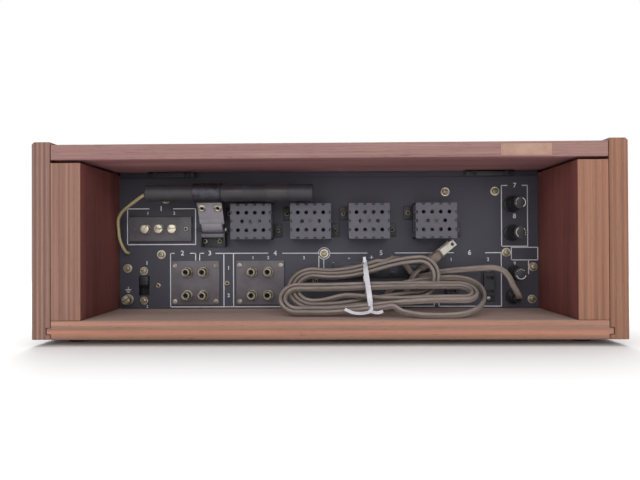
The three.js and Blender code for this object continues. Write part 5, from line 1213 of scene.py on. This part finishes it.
def face_mark(low, high, radius, width, finish):
    """A raised arc on a round face, from one angle to another in degrees."""
    bm = bmesh.new()
    inner, outer = radius - width / 2, radius + width / 2
    verts = [bm.verts.new((r, -y, 0)) for r, y in ((inner, 0), (outer, 0), (outer, 0.12), (inner, 0.12))]
    edges = [bm.edges.new(pair) for pair in zip(verts, verts[1:] + verts[:1])]
    bmesh.ops.contextual_create(bm, geom=edges)
    bmesh.ops.spin(bm, geom=bm.verts[:] + bm.edges[:] + bm.faces[:], cent=(0, 0, 0), axis=(0, 1, 0),
                   dvec=(0, 0, 0), angle=math.radians(high - low), steps=max(2, round((high - low) / 12)),
                   use_merge=False, use_duplicate=False)
    bmesh.ops.transform(bm, matrix=turn_by(low), verts=bm.verts)
    return closed(bm, finish)


for index, (x, z) in enumerate(FUSES):
    node = index + 1
    post = lathed([(4.6, -8), (6.0, -8), (6.0, -0.3), (7.8, -0.3), (7.8, 2.0), (7.4, 2.4), (6.6, 2.7), (6.5, 9.6),
                   (6.2, 10.0), (4.6, 10.0), (4.6, -8)], 0, 36)
    put(post, fluted(7.3, 0.5, 2.2, 6, 0.1, 1))
    bmesh.ops.transform(post, matrix=at(x, z), verts=post.verts)
    add_piece(f"fuse_post_{node}", post, [BLACK, BLACK_METAL], "receiver", REAR,
              replaces=(f"fuse_holder_{node}",))
    cap = fluted(6.35, 10.3, 24.6, 22, 0.35, 0)
    put(cap, lathed([(4.6, 0), (5.6, 0), (5.6, 0.25), (4.6, 0.25)] + [(4.6, 0)], 0, 36), at(0, 0, 24.5))
    put(cap, lathed([(0, 0), (4.2, 0), (4.2, 18), (0, 18)], 2, 20), at(0, 0, -7.5))
    put(cap, lathed([(0, 0), (3.2, 0), (3.2, 15), (0, 15)], 3, 20), at(0, 0, -22.0))
    for low, high, parts in CAP_MARKS[index]:
        step = (high - low) / parts
        for part in range(parts):
            start = low + part * step
            put(cap, face_mark(start, start + (step if parts == 1 else 0.45 * step), 4.6, 1.0, 1), at(0, 0, 24.6))
    bmesh.ops.transform(cap, matrix=at(x, z), verts=cap.verts)
    body = ("upper_fuse", "middle_fuse", "lower_fuse")[index]
    add_piece(f"fuse_cap_{node}_dressed", cap, [BLACK, SCREEN_INK, BLACK, NICKEL], body, REAR,
              replaces=(f"fuse_cap_{node}",), sharp=30)

slider = block(9.0, 6.4, 8.8, 0, 0.5)
for rib in (-2.6, 0.0, 2.6):
    put(slider, block(8.0, 0.8, 1.0, 0, 0.25), at(0, rib, 6.3))
bmesh.ops.transform(slider, matrix=at(-178.8, 42.8, -4.6), verts=slider.verts)
add_piece("level_slider_cap", slider, [BLACK], "level_slider", REAR, replaces=("level_switch_slider",))

# %% [markdown]
# ## The bar antenna
# A ferrite rod in a black tube swings out on a hinge. Its arm is a plain plate with two hollow
# rivets, and a sleeve that grips the tube. The arm leans back by 34 degrees at rest, so it is
# built upright and then leaned. Both pieces ride the bar antenna's body.

# %% Antenna arm, tube and hinge
PIVOT_X, PIVOT_Z, PIVOT_REACH = -109.2, 92.2, 8.3
ARM = at(PIVOT_X, PIVOT_Z, PIVOT_REACH) @ Matrix.Rotation(math.radians(33.7), 4, "X")
ARM_LENGTH, SLEEVE_OFFSET, ROD_OFFSET = 39.7, 0.2, 20.2
SIDEWAYS = Matrix.Rotation(math.pi / 2, 4, "Z")


def across(profile, finish=0, sides=40):
    """Spins a profile of (radius, place from left to right) round the x axis."""
    bm = lathed(profile, finish, sides)
    bmesh.ops.transform(bm, matrix=SIDEWAYS, verts=bm.verts)
    return bm


arm = across([(8.0, -12.6), (8.8, -12.6), (9.2, -12.2), (9.2, -11.4), (9.0, -11.2), (9.0, 11.2), (9.2, 11.4),
              (9.2, 12.2), (8.8, 12.6), (8.0, 12.6), (8.0, -12.6)], 2, 64)
bmesh.ops.transform(arm, matrix=at(SLEEVE_OFFSET, ARM_LENGTH), verts=arm.verts)
put(arm, block(23.2, 1.2, 24.8, 0, 0.35), at(0, 18.9, -0.6))
put(arm, block(19.8, 4.0, 7.0, 0, 1.0), at(0, 4.8, -0.4))
put(arm, block(23.2, 1.0, 5.6, 0, 0.3), at(0, 9.6, 0.4))
# The knuckle takes finish 4, the arm's grey darkened as painted shade.
put(arm, across([(1.9, -9.9), (3.2, -9.9), (3.4, -9.6), (3.4, 9.6), (3.2, 9.9), (1.9, 9.9), (1.9, -9.9)], 4))
for side in (-1, 1):
    put(arm, eyelet(3.9, 1.3, 1, 3), at(7.4 * side, 24.0, 0.6))
    put(arm, block(3.4, 1.4, 1.6, 1, 0.5), at(9.8 * side, 30.6, 0.4))
put(arm, block(4.6, 0.8, 1.0, 1, 0.3), at(1.8, 30.8, 0.6))
bmesh.ops.transform(arm, matrix=ARM, verts=arm.verts)
add_piece("antenna_arm_dressed", arm, [ARM_METAL, ZINC, SLEEVE_METAL, DARK_AND_PAINTED_SHADE, ARM_METAL_PAINTED_SHADE], "bar_antenna", REAR,
          replaces=("antenna_arm",))

half = 76.2
rod = across([(0, -half), (6.9, -half), (7.7, -half + 0.8), (7.7, half - 0.8), (6.9, half), (0, half)], 0, 64)
band = 9.5
put(rod, across([(7.6, -band), (8.0, -band), (8.15, -band + 0.3), (8.15, band - 0.3), (8.0, band), (7.6, band),
                 (7.6, -band)], 1, 64), at(43.3, 0))
put(rod, across([(7.5, -9.0), (7.85, -9.0), (7.95, -8.8), (7.95, 8.8), (7.85, 9.0), (7.5, 9.0), (7.5, -9.0)], 1, 64),
    at(4.0, 0))
put(rod, across([(0, 0), (2.6, 0), (2.4, 2.0), (1.5, 2.6), (0, 2.6)], 0, 24), at(-half - 2.2, 0))
bmesh.ops.transform(rod, matrix=ARM @ at(ROD_OFFSET, ARM_LENGTH), verts=rod.verts)
add_piece("ferrite_tube", rod, [TUBE, TAPE_GLOSS], "bar_antenna", REAR, replaces=("ferrite_antenna",))

hinge = block(23.4, 1.5, 11.0, 0, 0.35)
for side in (-1, 1):
    put(hinge, block(1.3, 11.4, 15.2, 0, 0.5), at(11.05 * side, 2.1))
    put(hinge, eyelet(2.7, 1.2, 1, 2), at(7.3 * side - 2.2, 0.3, 1.5))
put(hinge, across([(0, -16.4), (1.2, -16.4), (1.6, -16.0), (1.6, 12.6), (0, 12.6)], 0), at(0, 11.2, 8.0))
put(hinge, across([(0, 0), (2.2, 0), (2.6, 0.4), (2.6, 1.0), (2.2, 1.4), (0, 1.4)], 1), at(11.8, 11.2, 8.0))
# A strip below the knuckle in the same darkened grey, painted shade.
put(hinge, block(21.2, 1.2, 3.6, 3, 0.3), at(0, 5.6, 10.0))
bmesh.ops.transform(hinge, matrix=at(PIVOT_X, 81.0, 0.3), verts=hinge.verts)
add_piece("antenna_hinge_dressed", hinge, [BLACK_METAL, ZINC, DARK_AND_PAINTED_SHADE, ARM_METAL_PAINTED_SHADE], "receiver", REAR,
          replaces=("antenna_hinge",))

# %% [markdown]
# The antenna's lead is yellowed vinyl. One end is in the tube, which swings, and the other goes
# through the panel, so the lead is put on neither body.

# %% Antenna lead
LEAD_RADIUS = 1.4
ANTENNA_LEAD = [
    (-166.0, 30.4, 124.6), (-170.5, 29, 122.5), (-180, 24.5, 117.3), (-189.5, 19, 112), (-196, 14.5, 107.3),
    (-199.2, 12, 102), (-199.8, 10, 93), (-199.4, 8, 83.5), (-197.4, 6.8, 76.8), (-194.8, 5.4, 71.8),
    (-193.8, 4.0, 70.4), (-193.6, 0.4, 70.2),
]
lead_points = curve_through([Vector(point) for point in ANTENNA_LEAD], 2.0)
round_section = [(LEAD_RADIUS * math.cos(k * math.pi / 6), LEAD_RADIUS * math.sin(k * math.pi / 6)) for k in range(12)]
lead_mesh = cord_mesh(round_section, lead_points, [Vector((0.1, 1, 0.2))] * len(lead_points))
antenna_lead = add_piece("antenna_lead_vinyl", lead_mesh, [LEAD_VINYL], None, REAR, replaces=("antenna_lead",),
                         sharp=60)
lead_path = to_world(lead_points)
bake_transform(antenna_lead)
print(f"antenna lead: {1000 * sum((b - a).length for a, b in zip(lead_path, lead_path[1:])):.0f} mm")

# %% [markdown]
# The mains cord leaves through a moulded relief whose nose narrows and is slit into rings, so
# that it bends a little. The plug is one moulding with two blades. A white tie holds the hank: a
# flat ribbon once round it, broad in front and twisted above and below. One short end stands up at
# its knot, and its two long ends lie at the bottom.

# %% Strain relief, plug and tie
relief = lathed([(2.0, -8), (6.4, -8), (6.4, -2.6), (5.6, -2.0), (5.6, -0.4), (7.0, 0.3), (7.0, 1.6), (6.6, 2.2),
                 (5.8, 2.3), (5.7, 4.2), (5.2, 4.5), (5.2, 5.0), (5.5, 5.3), (5.3, 7.0), (4.8, 7.3), (4.8, 7.8),
                 (5.1, 8.1), (4.9, 9.8), (4.4, 10.1), (4.4, 10.6), (4.7, 10.9), (4.5, 13.2), (4.0, 14.0), (2.9, 14.2),
                 (2.0, 13.0), (2.0, -8)], 0, 40)
bmesh.ops.transform(relief, matrix=at(178.2, 27.0), verts=relief.verts)
add_piece("cord_strain_relief", relief, [BLACK], "receiver", REAR, replaces=("strain_relief",))



def plug_body():
    """The plug's moulding: a block cut across its middle, whose far end is drawn in to the cord."""
    bm = bmesh.new()
    bmesh.ops.create_cube(bm, size=1.0, matrix=Matrix.Translation((0, 0, -12)) @ Matrix.Diagonal((18, 9, 24, 1)))
    for height in (-2.5, -5.5, -12.0):
        bmesh.ops.bisect_plane(bm, geom=bm.verts[:] + bm.edges[:] + bm.faces[:], dist=0.0001,
                               plane_co=(0, 0, height), plane_no=(0, 0, 1))
    for vert in bm.verts:
        if vert.co.z < -20:
            vert.co.x, vert.co.y = vert.co.x * 0.48, vert.co.y * 0.62
        elif abs(vert.co.z + 4.0) < 2:
            vert.co.x, vert.co.y = vert.co.x * 0.93, vert.co.y * 0.93
    edges = [edge for edge in bm.edges if edge.calc_face_angle(0) > math.radians(40)]
    bmesh.ops.bevel(bm, geom=edges, offset=1.6, offset_type="OFFSET", segments=4, profile=0.5, affect="EDGES",
                    material=-1, clamp_overlap=True)
    return closed(bm)


def plug_blade():
    """A flat blade with a hole near its tip: a ring round the hole, drawn out to the root and thickened."""
    bm = bmesh.new()
    holed_cell(bm, 0, 13.35, 3.15, 3.15, 1.6)
    root = [edge for edge in bm.edges if all(vert.co.y < 10.3 for vert in edge.verts)]
    made = bmesh.ops.extrude_edge_only(bm, edges=root)["geom"]
    for vert in made:
        if isinstance(vert, bmesh.types.BMVert):
            vert.co.y = -1.0
    bmesh.ops.recalc_face_normals(bm, faces=bm.faces)
    bmesh.ops.solidify(bm, geom=bm.faces[:], thickness=1.5)
    centre = sum((vert.co.z for vert in bm.verts)) / len(bm.verts)
    bmesh.ops.translate(bm, vec=(0, 0, -centre), verts=bm.verts)
    turned = Matrix.Rotation(math.pi / 2, 4, "Z") @ Matrix.Rotation(math.pi / 2, 4, "X")
    bmesh.ops.transform(bm, matrix=turned, verts=bm.verts)
    return closed(bm, 1)


plug = plug_body()
put(plug, plug_blade(), *(Matrix.Translation((6.35 * side, 0, 0)) for side in (-1, 1)))
bmesh.ops.transform(plug, matrix=PLUG, verts=plug.verts)
add_piece("moulded_plug", plug, [PLUG_VINYL, TIN], "receiver", REAR, replaces=("power_plug",))

TIE_X, TIE_SLACK = 34.6, 3.0


def tie_loop(x):
    """A line round every lead of the cord that crosses a plane: the hull of the crossings."""
    crossings = []
    start = next(index for index, point in enumerate(points) if point is hank[0][0])
    for a, b in zip(points[start:], points[start + 1:start + len(hank)]):
        if (a.x - x) * (b.x - x) < 0:
            spot = a.lerp(b, (x - a.x) / (b.x - a.x))
            crossings += [(spot.y + TIE_SLACK * math.cos(k * math.pi / 4),
                           spot.z + TIE_SLACK * math.sin(k * math.pi / 4)) for k in range(8)]
    hull = [Vector((x, *crossings[index])) for index in mathutils.geometry.convex_hull_2d(crossings)]
    top = max(range(len(hull)), key=lambda k: hull[k].z + 0.4 * hull[k].y)
    hull = hull[top:] + hull[:top] + [hull[top]]
    return curve_through(hull, 1.5)


ribbon_section = [(-2.2, -0.3), (2.2, -0.3), (2.2, 0.3), (-2.2, 0.3)]
loop = tie_loop(TIE_X)
loop = [point + Vector((2.0 * ease(point.z, 60, 20), 0, 0)) for point in loop]
high, low = (pick(point.z for point in loop) for pick in (max, min))
twists = [max(ease(point.z, high - 14, high - 4), ease(point.z, low + 12, low + 4)) for point in loop]
tie = cord_mesh(ribbon_section, loop, [Vector((1, 0, 0)).lerp(Vector((0.4, 1, 0)), 0.9 * twist) for twist in twists])
knot = loop[0]
foot = max(loop, key=lambda point: 0.5 * point.y - point.z) + Vector((0, 0.8, 1.0))
FLAT_ENDS = [(knot, [(-0.3, 0.4, 2.4), (-0.6, 0.6, 4.6)], (1, 0.4, 0)),
             (foot, [(-7, 1.8, -1.2), (-15, 2.6, -0.6), (-22, 2.6, 2.4)], (0, 0.3, 1)),
             (foot, [(5, 1.6, -0.8), (10, 2.2, 0.4)], (0, 0.3, 1))]
for start, steps, across_end in FLAT_ENDS:
    line = curve_through([start] + [start + Vector(step) for step in steps], 0.8)
    put(tie, cord_mesh([(-1.3, -0.3), (1.3, -0.3), (1.3, 0.3), (-1.3, 0.3)], line, [Vector(across_end)] * len(line)))
for place in (knot, foot):
    put(tie, block(2.8, 2.4, 2.8, 0, 0.9, 3), at(place.x, place.z, place.y - 1.2))
add_piece("hank_tie", tie, [WHITE_PLASTIC], "receiver", REAR, sharp=50)
print("tie from z", round(min(point.z for point in loop), 1), "to", round(max(point.z for point in loop), 1))

# %% [markdown]
# ## Small things on the cabinet
# Two blackened brackets hang under the top and hold the chassis down. A blank strip of old paper
# tape is stuck on the top's rear edge. The four feet are turned rubber with a screw sunk in each.

# %% Brackets, tape and feet
for name, x in (("left", -156.0), ("right", 151.0)):
    # Their names are the chassis's own left and right, so their places mirror those seen from behind.
    bracket = block(46.0, 1.5, 5.4, 0, 0.4)
    bmesh.ops.transform(bracket, matrix=at(0, -2.7, 0), verts=bracket.verts)
    put(bracket, block(46.0, 18.0, 1.5, 0, 0.4), at(0, -0.75, -16.5))
    for side in (-1, 1):
        put(bracket, crossed_head(3.0, 1.5, 1), at(16.0 * side, -3.0, 1.5) @ turn_by(30 * side))
    bmesh.ops.transform(bracket, matrix=at(-x, 148.2, 2.9), verts=bracket.verts)
    add_piece(f"bracket_{name}_dressed", bracket, [BLACK_METAL, BLACK_METAL], "receiver", REAR,
              replaces=(f"hold_down_bracket_{name}",))

tape = block(41.2, 0.25, 9.4, 0, 0.08)
bmesh.ops.bisect_plane(tape, geom=tape.verts[:] + tape.edges[:] + tape.faces[:], dist=0.0001,
                       plane_co=(17.0, 0, 0), plane_no=(1, 0, 0.1))
bmesh.ops.transform(tape, matrix=at(162.2, 154.6, 79.0), verts=tape.verts)
add_piece("paper_tape", tape, [PAPER_TAPE], "receiver", REAR)

FOOT_SCREW_DEPTH = 1.2
foot = lathed([(0, 1.8), (3.9, 1.8), (4.1, 0.3), (4.5, 0), (9.6, 0), (10.4, 0.5), (11.0, 4.6), (11.0, 5.2),
               (0, 5.2)], 0, 48)
foot_screw = lathed([(0, 0), (3.4, 0), (3.6, 0.2), (3.6, 0.7), (0, 0.7)], 1, 24)
put(foot, foot_screw, at(0, 0, FOOT_SCREW_DEPTH))
bmesh.ops.transform(foot, matrix=Matrix.Rotation(-math.pi / 2, 4, "X"), verts=foot.verts)
shape = bpy.data.meshes.new("foot")
foot.to_mesh(shape)
foot.free()
for row, y in (("front", -137.0), ("rear", 155.0)):
    for end, x in (("left", -218.0), ("right", 218.0)):
        copy = bmesh.new()
        copy.from_mesh(shape)
        bmesh.ops.transform(copy, matrix=Matrix.Translation((x, y, 0.0)), verts=copy.verts)
        add_piece(f"rubber_foot_{row}_{end}", copy, [RUBBER, ZINC], "receiver",
                  replaces=(f"foot_{row}_{end}",))
bpy.data.meshes.remove(shape)

# %% [markdown]
# ## The front
# The photograph doesn't show the front, so it is made as such receivers usually are, and kept
# plain: a brushed aluminium plate with rounded edges, a dark dial behind glass, and turned knobs.
# The brushing runs sideways, so its noise is drawn out along x. The glass is nearly clear, and a
# little dark, so that its own colour doesn't veil the dial.

# %% Faceplate, glass and dial
brushed = Finish("brushed_aluminium", Metallic=1.0)
strokes = brushed.noise(9.0, 900.0, 3600.0, detail=3.0, roughness=0.7)
BRUSHED = brushed.set(Base_Color=brushed.mix(strokes.ease(0.3, 0.7), shade(186, 184, 180), shade(204, 202, 198)),
                      Roughness=0.3 + 0.16 * strokes).bump(strokes, 0.00001).material
spun = Finish("spun_aluminium", Metallic=1.0)
haze = spun.noise(60.0, detail=2.0)
SPUN = spun.set(Base_Color=spun.mix(haze, shade(196, 194, 190), shade(206, 204, 200)),
                Roughness=0.24 + 0.08 * haze).material
DIAL_BLACK = painted("dial_black", (20, 21, 24), (30, 31, 36), 0.5, cloud=20.0)
RED = moulded("pointer_red", (196, 52, 38), (176, 44, 34), 0.4)
PLATE_INK = painted("plate_ink", (44, 44, 48), (58, 58, 62), 0.55)
glass = Finish("dial_glass", Base_Color=(0.03, 0.036, 0.035, 1.0), Alpha=0.3, Specular_IOR_Level=0.5)
GLASS = glass.set(Roughness=0.04 + 0.05 * glass.noise(30.0, detail=4.0).ease(0.45, 0.7)).material


def dressed_copy(name, node, finish, offset, body="receiver"):
    return add_piece(name, rounded(node_copy(node), offset), [finish], body, replaces=(node,), sharp=30)


dressed_copy("front_plate", "faceplate", BRUSHED, 0.5)
dressed_copy("dial_glass_pane", "dial_window", GLASS, 0.4)
dressed_copy("dial_scale_plate", "dial_scale", DIAL_BLACK, 0.3)
dressed_copy("dial_needle", "dial_pointer", RED, 0.2, "pointer")

# %% [markdown]
# The dial has two rows of numbers with ticks between them. Their places come from a short table,
# and the pointer travels along the whole row.

# %% Dial printing
DIAL_LEFT, DIAL_RIGHT = -122.0, 74.0
DIAL_ROWS = [(126.0, 88, 108, 4, 118.5, 1), (100.5, 6, 16, 2, 108.0, -1)]
dial = bmesh.new()
for number_z, first, last, step, tick_z, side in DIAL_ROWS:
    for number in range(first, last + 1, step):
        x = between(DIAL_LEFT, DIAL_RIGHT, (number - first) / (last - first))
        put(dial, printed_text(str(number), 6.4), at(x, number_z))
    for tick in range(41):
        x = between(DIAL_LEFT, DIAL_RIGHT, tick / 40)
        high = 4.0 if tick % 4 == 0 else 2.2
        printed_line(dial, (x, min(tick_z, tick_z + side * high), x, max(tick_z, tick_z + side * high)), 0.4)
    printed_line(dial, (DIAL_LEFT, tick_z, DIAL_RIGHT, tick_z), 0.4)
bmesh.ops.transform(dial, matrix=at(0, 0, -8.0), verts=dial.verts)
add_piece("dial_numbers", dial, [SCREEN_INK], "receiver", FRONT)

# %% [markdown]
# A knob is a ribbed barrel on a skirt, with a turned aluminium cap let into its face and a dark
# line that shows where it points. Ticks round it are printed on the plate.

# %% Knobs and button
KNOB_Z = 43.0
KNOBS = [("selector", -180.06, 5, -50), ("bass", -111.97, 11, 0), ("treble", -58.04, 11, 0),
         ("balance", 8.0, 11, 0), ("volume", 85.92, 11, -70)]
scale = bmesh.new()
for name, x, ticks, turn in KNOBS:
    knob = lathed([(0, 0), (13.4, 0), (14.0, 0.5), (14.0, 2.4), (13.5, 3.0), (0, 3.0)], 0, 64)
    put(knob, fluted(12.5, 2.9, 18.0, 32, 0.55, 0))
    put(knob, lathed([(0, 17.5), (10.6, 17.5), (10.6, 18.5), (10.2, 18.9), (9.4, 19.0), (0, 18.7)], 1, 64))
    put(knob, block(1.1, 0.4, 8.6, 2, 0.15), at(0, 5.6, 18.75))
    bmesh.ops.transform(knob, matrix=at(x, KNOB_Z, 5.0) @ turn_by(turn), verts=knob.verts)
    add_piece(f"{name}_knob_dressed", knob, [BLACK, SPUN, DIAL_BLACK], name, FRONT,
              replaces=(f"{name}_knob",), sharp=40)
    for tick in range(ticks):
        place = at(x, KNOB_Z) @ turn_by(between(-140, 140, tick / (ticks - 1)))
        put(scale, block(0.5, INK, 2.2), place @ at(0, 17.2, 4.0))
    for text, side in (("0", -1), (str(ticks - 1), 1)):
        put(scale, printed_text(text, 4.0), at(x + side * 15.6, KNOB_Z - 16.4, 4.0))
add_piece("plate_numbers", scale, [PLATE_INK], "receiver", FRONT)

tuner = lathed([(0, 0), (22.0, 0), (22.6, 0.6), (22.6, 2.6), (21.6, 3.2), (0, 3.2)], 0, 96)
put(tuner, fluted(22.8, 3.1, 19.2, 72, 0.45, 0))
put(tuner, lathed([(0, 18.6), (20.6, 18.6), (20.9, 19.6), (20.2, 20.8), (19.4, 21.0), (17.0, 20.4), (0, 20.1)], 0, 96))
put(tuner, lathed([(2.4, 0), (4.2, 0), (4.4, 0.3), (3.9, 0.5), (2.6, 0.5), (2.4, 0.3), (2.4, 0)], 1, 32),
    at(0, 12.0, 20.0))
bmesh.ops.transform(tuner, matrix=at(168.0, 104.0, 5.0), verts=tuner.verts)
add_piece("tuning_knob_dressed", tuner, [SPUN, DIAL_BLACK], "tuning_spindle", FRONT, replaces=("tuning_knob",),
          sharp=40)

button = block(16.6, 25.4, 8.6, 0, 0.9, 4)
put(button, block(15.0, 0.6, 0.8, 1, 0.2), at(0, 0, 25.0))
bmesh.ops.transform(button, matrix=at(158.0, KNOB_Z, -13.4), verts=button.verts)
add_piece("power_button_dressed", button, [BLACK, SCREEN_INK], "power", FRONT, replaces=("power_button",))

# %% [markdown]
# ## Inside
# Parts behind the panels keep the CAD model's shapes, which are right, and get finishes of their
# own: zinc-plated steel with a haze, lacquered copper-brown boards, and grey aluminium cans.

# %% Finishes inside
CHASSIS = plated("chassis_zinc", (168, 166, 158), (120, 116, 104), 0.4)
LAMINATION = painted("transformer_black", (38, 37, 40), (56, 54, 56), 0.5, cloud=40.0)
BOARD = painted("board_brown", (112, 82, 44), (92, 66, 36), 0.45, grain=900.0, cloud=30.0)
CAN = plated("can_aluminium", (186, 186, 184), (150, 150, 148), 0.3)
# The tuning drum takes the near-black of the painted shade as its own dark colour.
INSIDE = {"chassis_pan": CHASSIS, "power_transformer": LAMINATION, "filter_capacitor": CAN, "circuit_board": BOARD,
          "control_board": BOARD, "tuning_capacitor": CHASSIS, "capacitor_rotor": CAN, "tuning_drum": DARK_AND_PAINTED_SHADE,
          "tuning_shaft": NICKEL}
for node, finish in INSIDE.items():
    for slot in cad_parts[node].material_slots:
        slot.link = "OBJECT"
        slot.material = finish
print("inside:", ", ".join(INSIDE))

# %% [markdown]
# ## Floor and light
# The receiver stands on a white table in soft light. The floor is a plain pale plane that keeps
# the shadow. Further off it turns plain white, and what the camera, a gloss or a glass sees beyond
# it is white too, so there is no horizon.

# %% Floor, world and lamps
def add_stage():
    bm = bmesh.new()
    bmesh.ops.create_grid(bm, x_segments=1, y_segments=1, size=8000)
    floor = Finish("floor", Base_Color=(0.92, 0.92, 0.92, 1.0), Roughness=0.9, Specular_IOR_Level=0.0)
    rays = [floor.node("ShaderNodeLightPath", out=f"Is {kind} Ray") for kind in ("Camera", "Glossy", "Transmission")]
    seen = rays[0].maths("MAXIMUM", rays[0].maths("MAXIMUM", rays[0], rays[1]), rays[2])
    away = floor.node("ShaderNodeVectorMath", {"operation": "LENGTH"}, {0: floor.place(1.0, 1.0, 1.0)}, out="Value")
    white = floor.node("ShaderNodeEmission", None, {"Color": (1.0, 1.0, 1.0, 1.0), "Strength": 1.0})
    mixed = floor.node("ShaderNodeMixShader", None,
                       {0: seen * away.ease(0.5, 1.1), 1: Wire(floor, floor.shader.outputs[0]), 2: white})
    floor.tree.links.new(mixed.socket, floor.tree.nodes["Material Output"].inputs["Surface"])
    stage = add_piece("floor", bm, [floor.material], None)


def add_world():
    """An even light from all round, which shows as white to the camera and in gloss and glass."""
    world = bpy.data.worlds.new("soft_light")
    world.use_nodes = True
    bpy.context.scene.world = world
    nodes, links = world.node_tree.nodes, world.node_tree.links
    light = nodes["Background"]
    light.inputs["Color"].default_value = (1.0, 1.0, 1.0, 1.0)
    light.inputs["Strength"].default_value = WORLD_LIGHT
    white = nodes.new("ShaderNodeBackground")
    white.inputs["Color"].default_value = (1.0, 1.0, 1.0, 1.0)
    path = nodes.new("ShaderNodeLightPath")
    factor = path.outputs["Is Camera Ray"]
    for ray in ("Is Glossy Ray", "Is Transmission Ray"):
        highest = nodes.new("ShaderNodeMath")
        highest.operation = "MAXIMUM"
        links.new(factor, highest.inputs[0])
        links.new(path.outputs[ray], highest.inputs[1])
        factor = highest.outputs[0]
    mix = nodes.new("ShaderNodeMixShader")
    links.new(factor, mix.inputs[0])
    links.new(light.outputs[0], mix.inputs[1])
    links.new(white.outputs[0], mix.inputs[2])
    links.new(mix.outputs[0], nodes["World Output"].inputs["Surface"])


def add_lamp(name, place, target, size, watts):
    data = bpy.data.lights.new(name, "AREA")
    data.shape = "RECTANGLE"
    data.size, data.size_y = size
    data.energy = watts
    lamp = bpy.data.objects.new(name, data)
    bpy.context.scene.collection.objects.link(lamp)
    direction = Vector(target) - Vector(place)
    lamp.matrix_world = Matrix.Translation(place) @ direction.to_track_quat("-Z", "Y").to_matrix().to_4x4()


WORLD_LIGHT = 0.35
add_stage()
add_world()
add_lamp("rear_softbox", (0.0, 1.9, 0.95), (0.0, 0.1, 0.08), (3.4, 1.3), 24.0)
add_lamp("front_softbox", (0.3, -1.9, 1.3), (0.0, -0.1, 0.08), (2.4, 1.4), 40.0)
add_lamp("top_softbox", (0.0, -0.35, 2.0), (0.0, 0.1, 0.0), (2.4, 2.0), 42.0)
bpy.context.scene.view_settings.view_transform = "Standard"
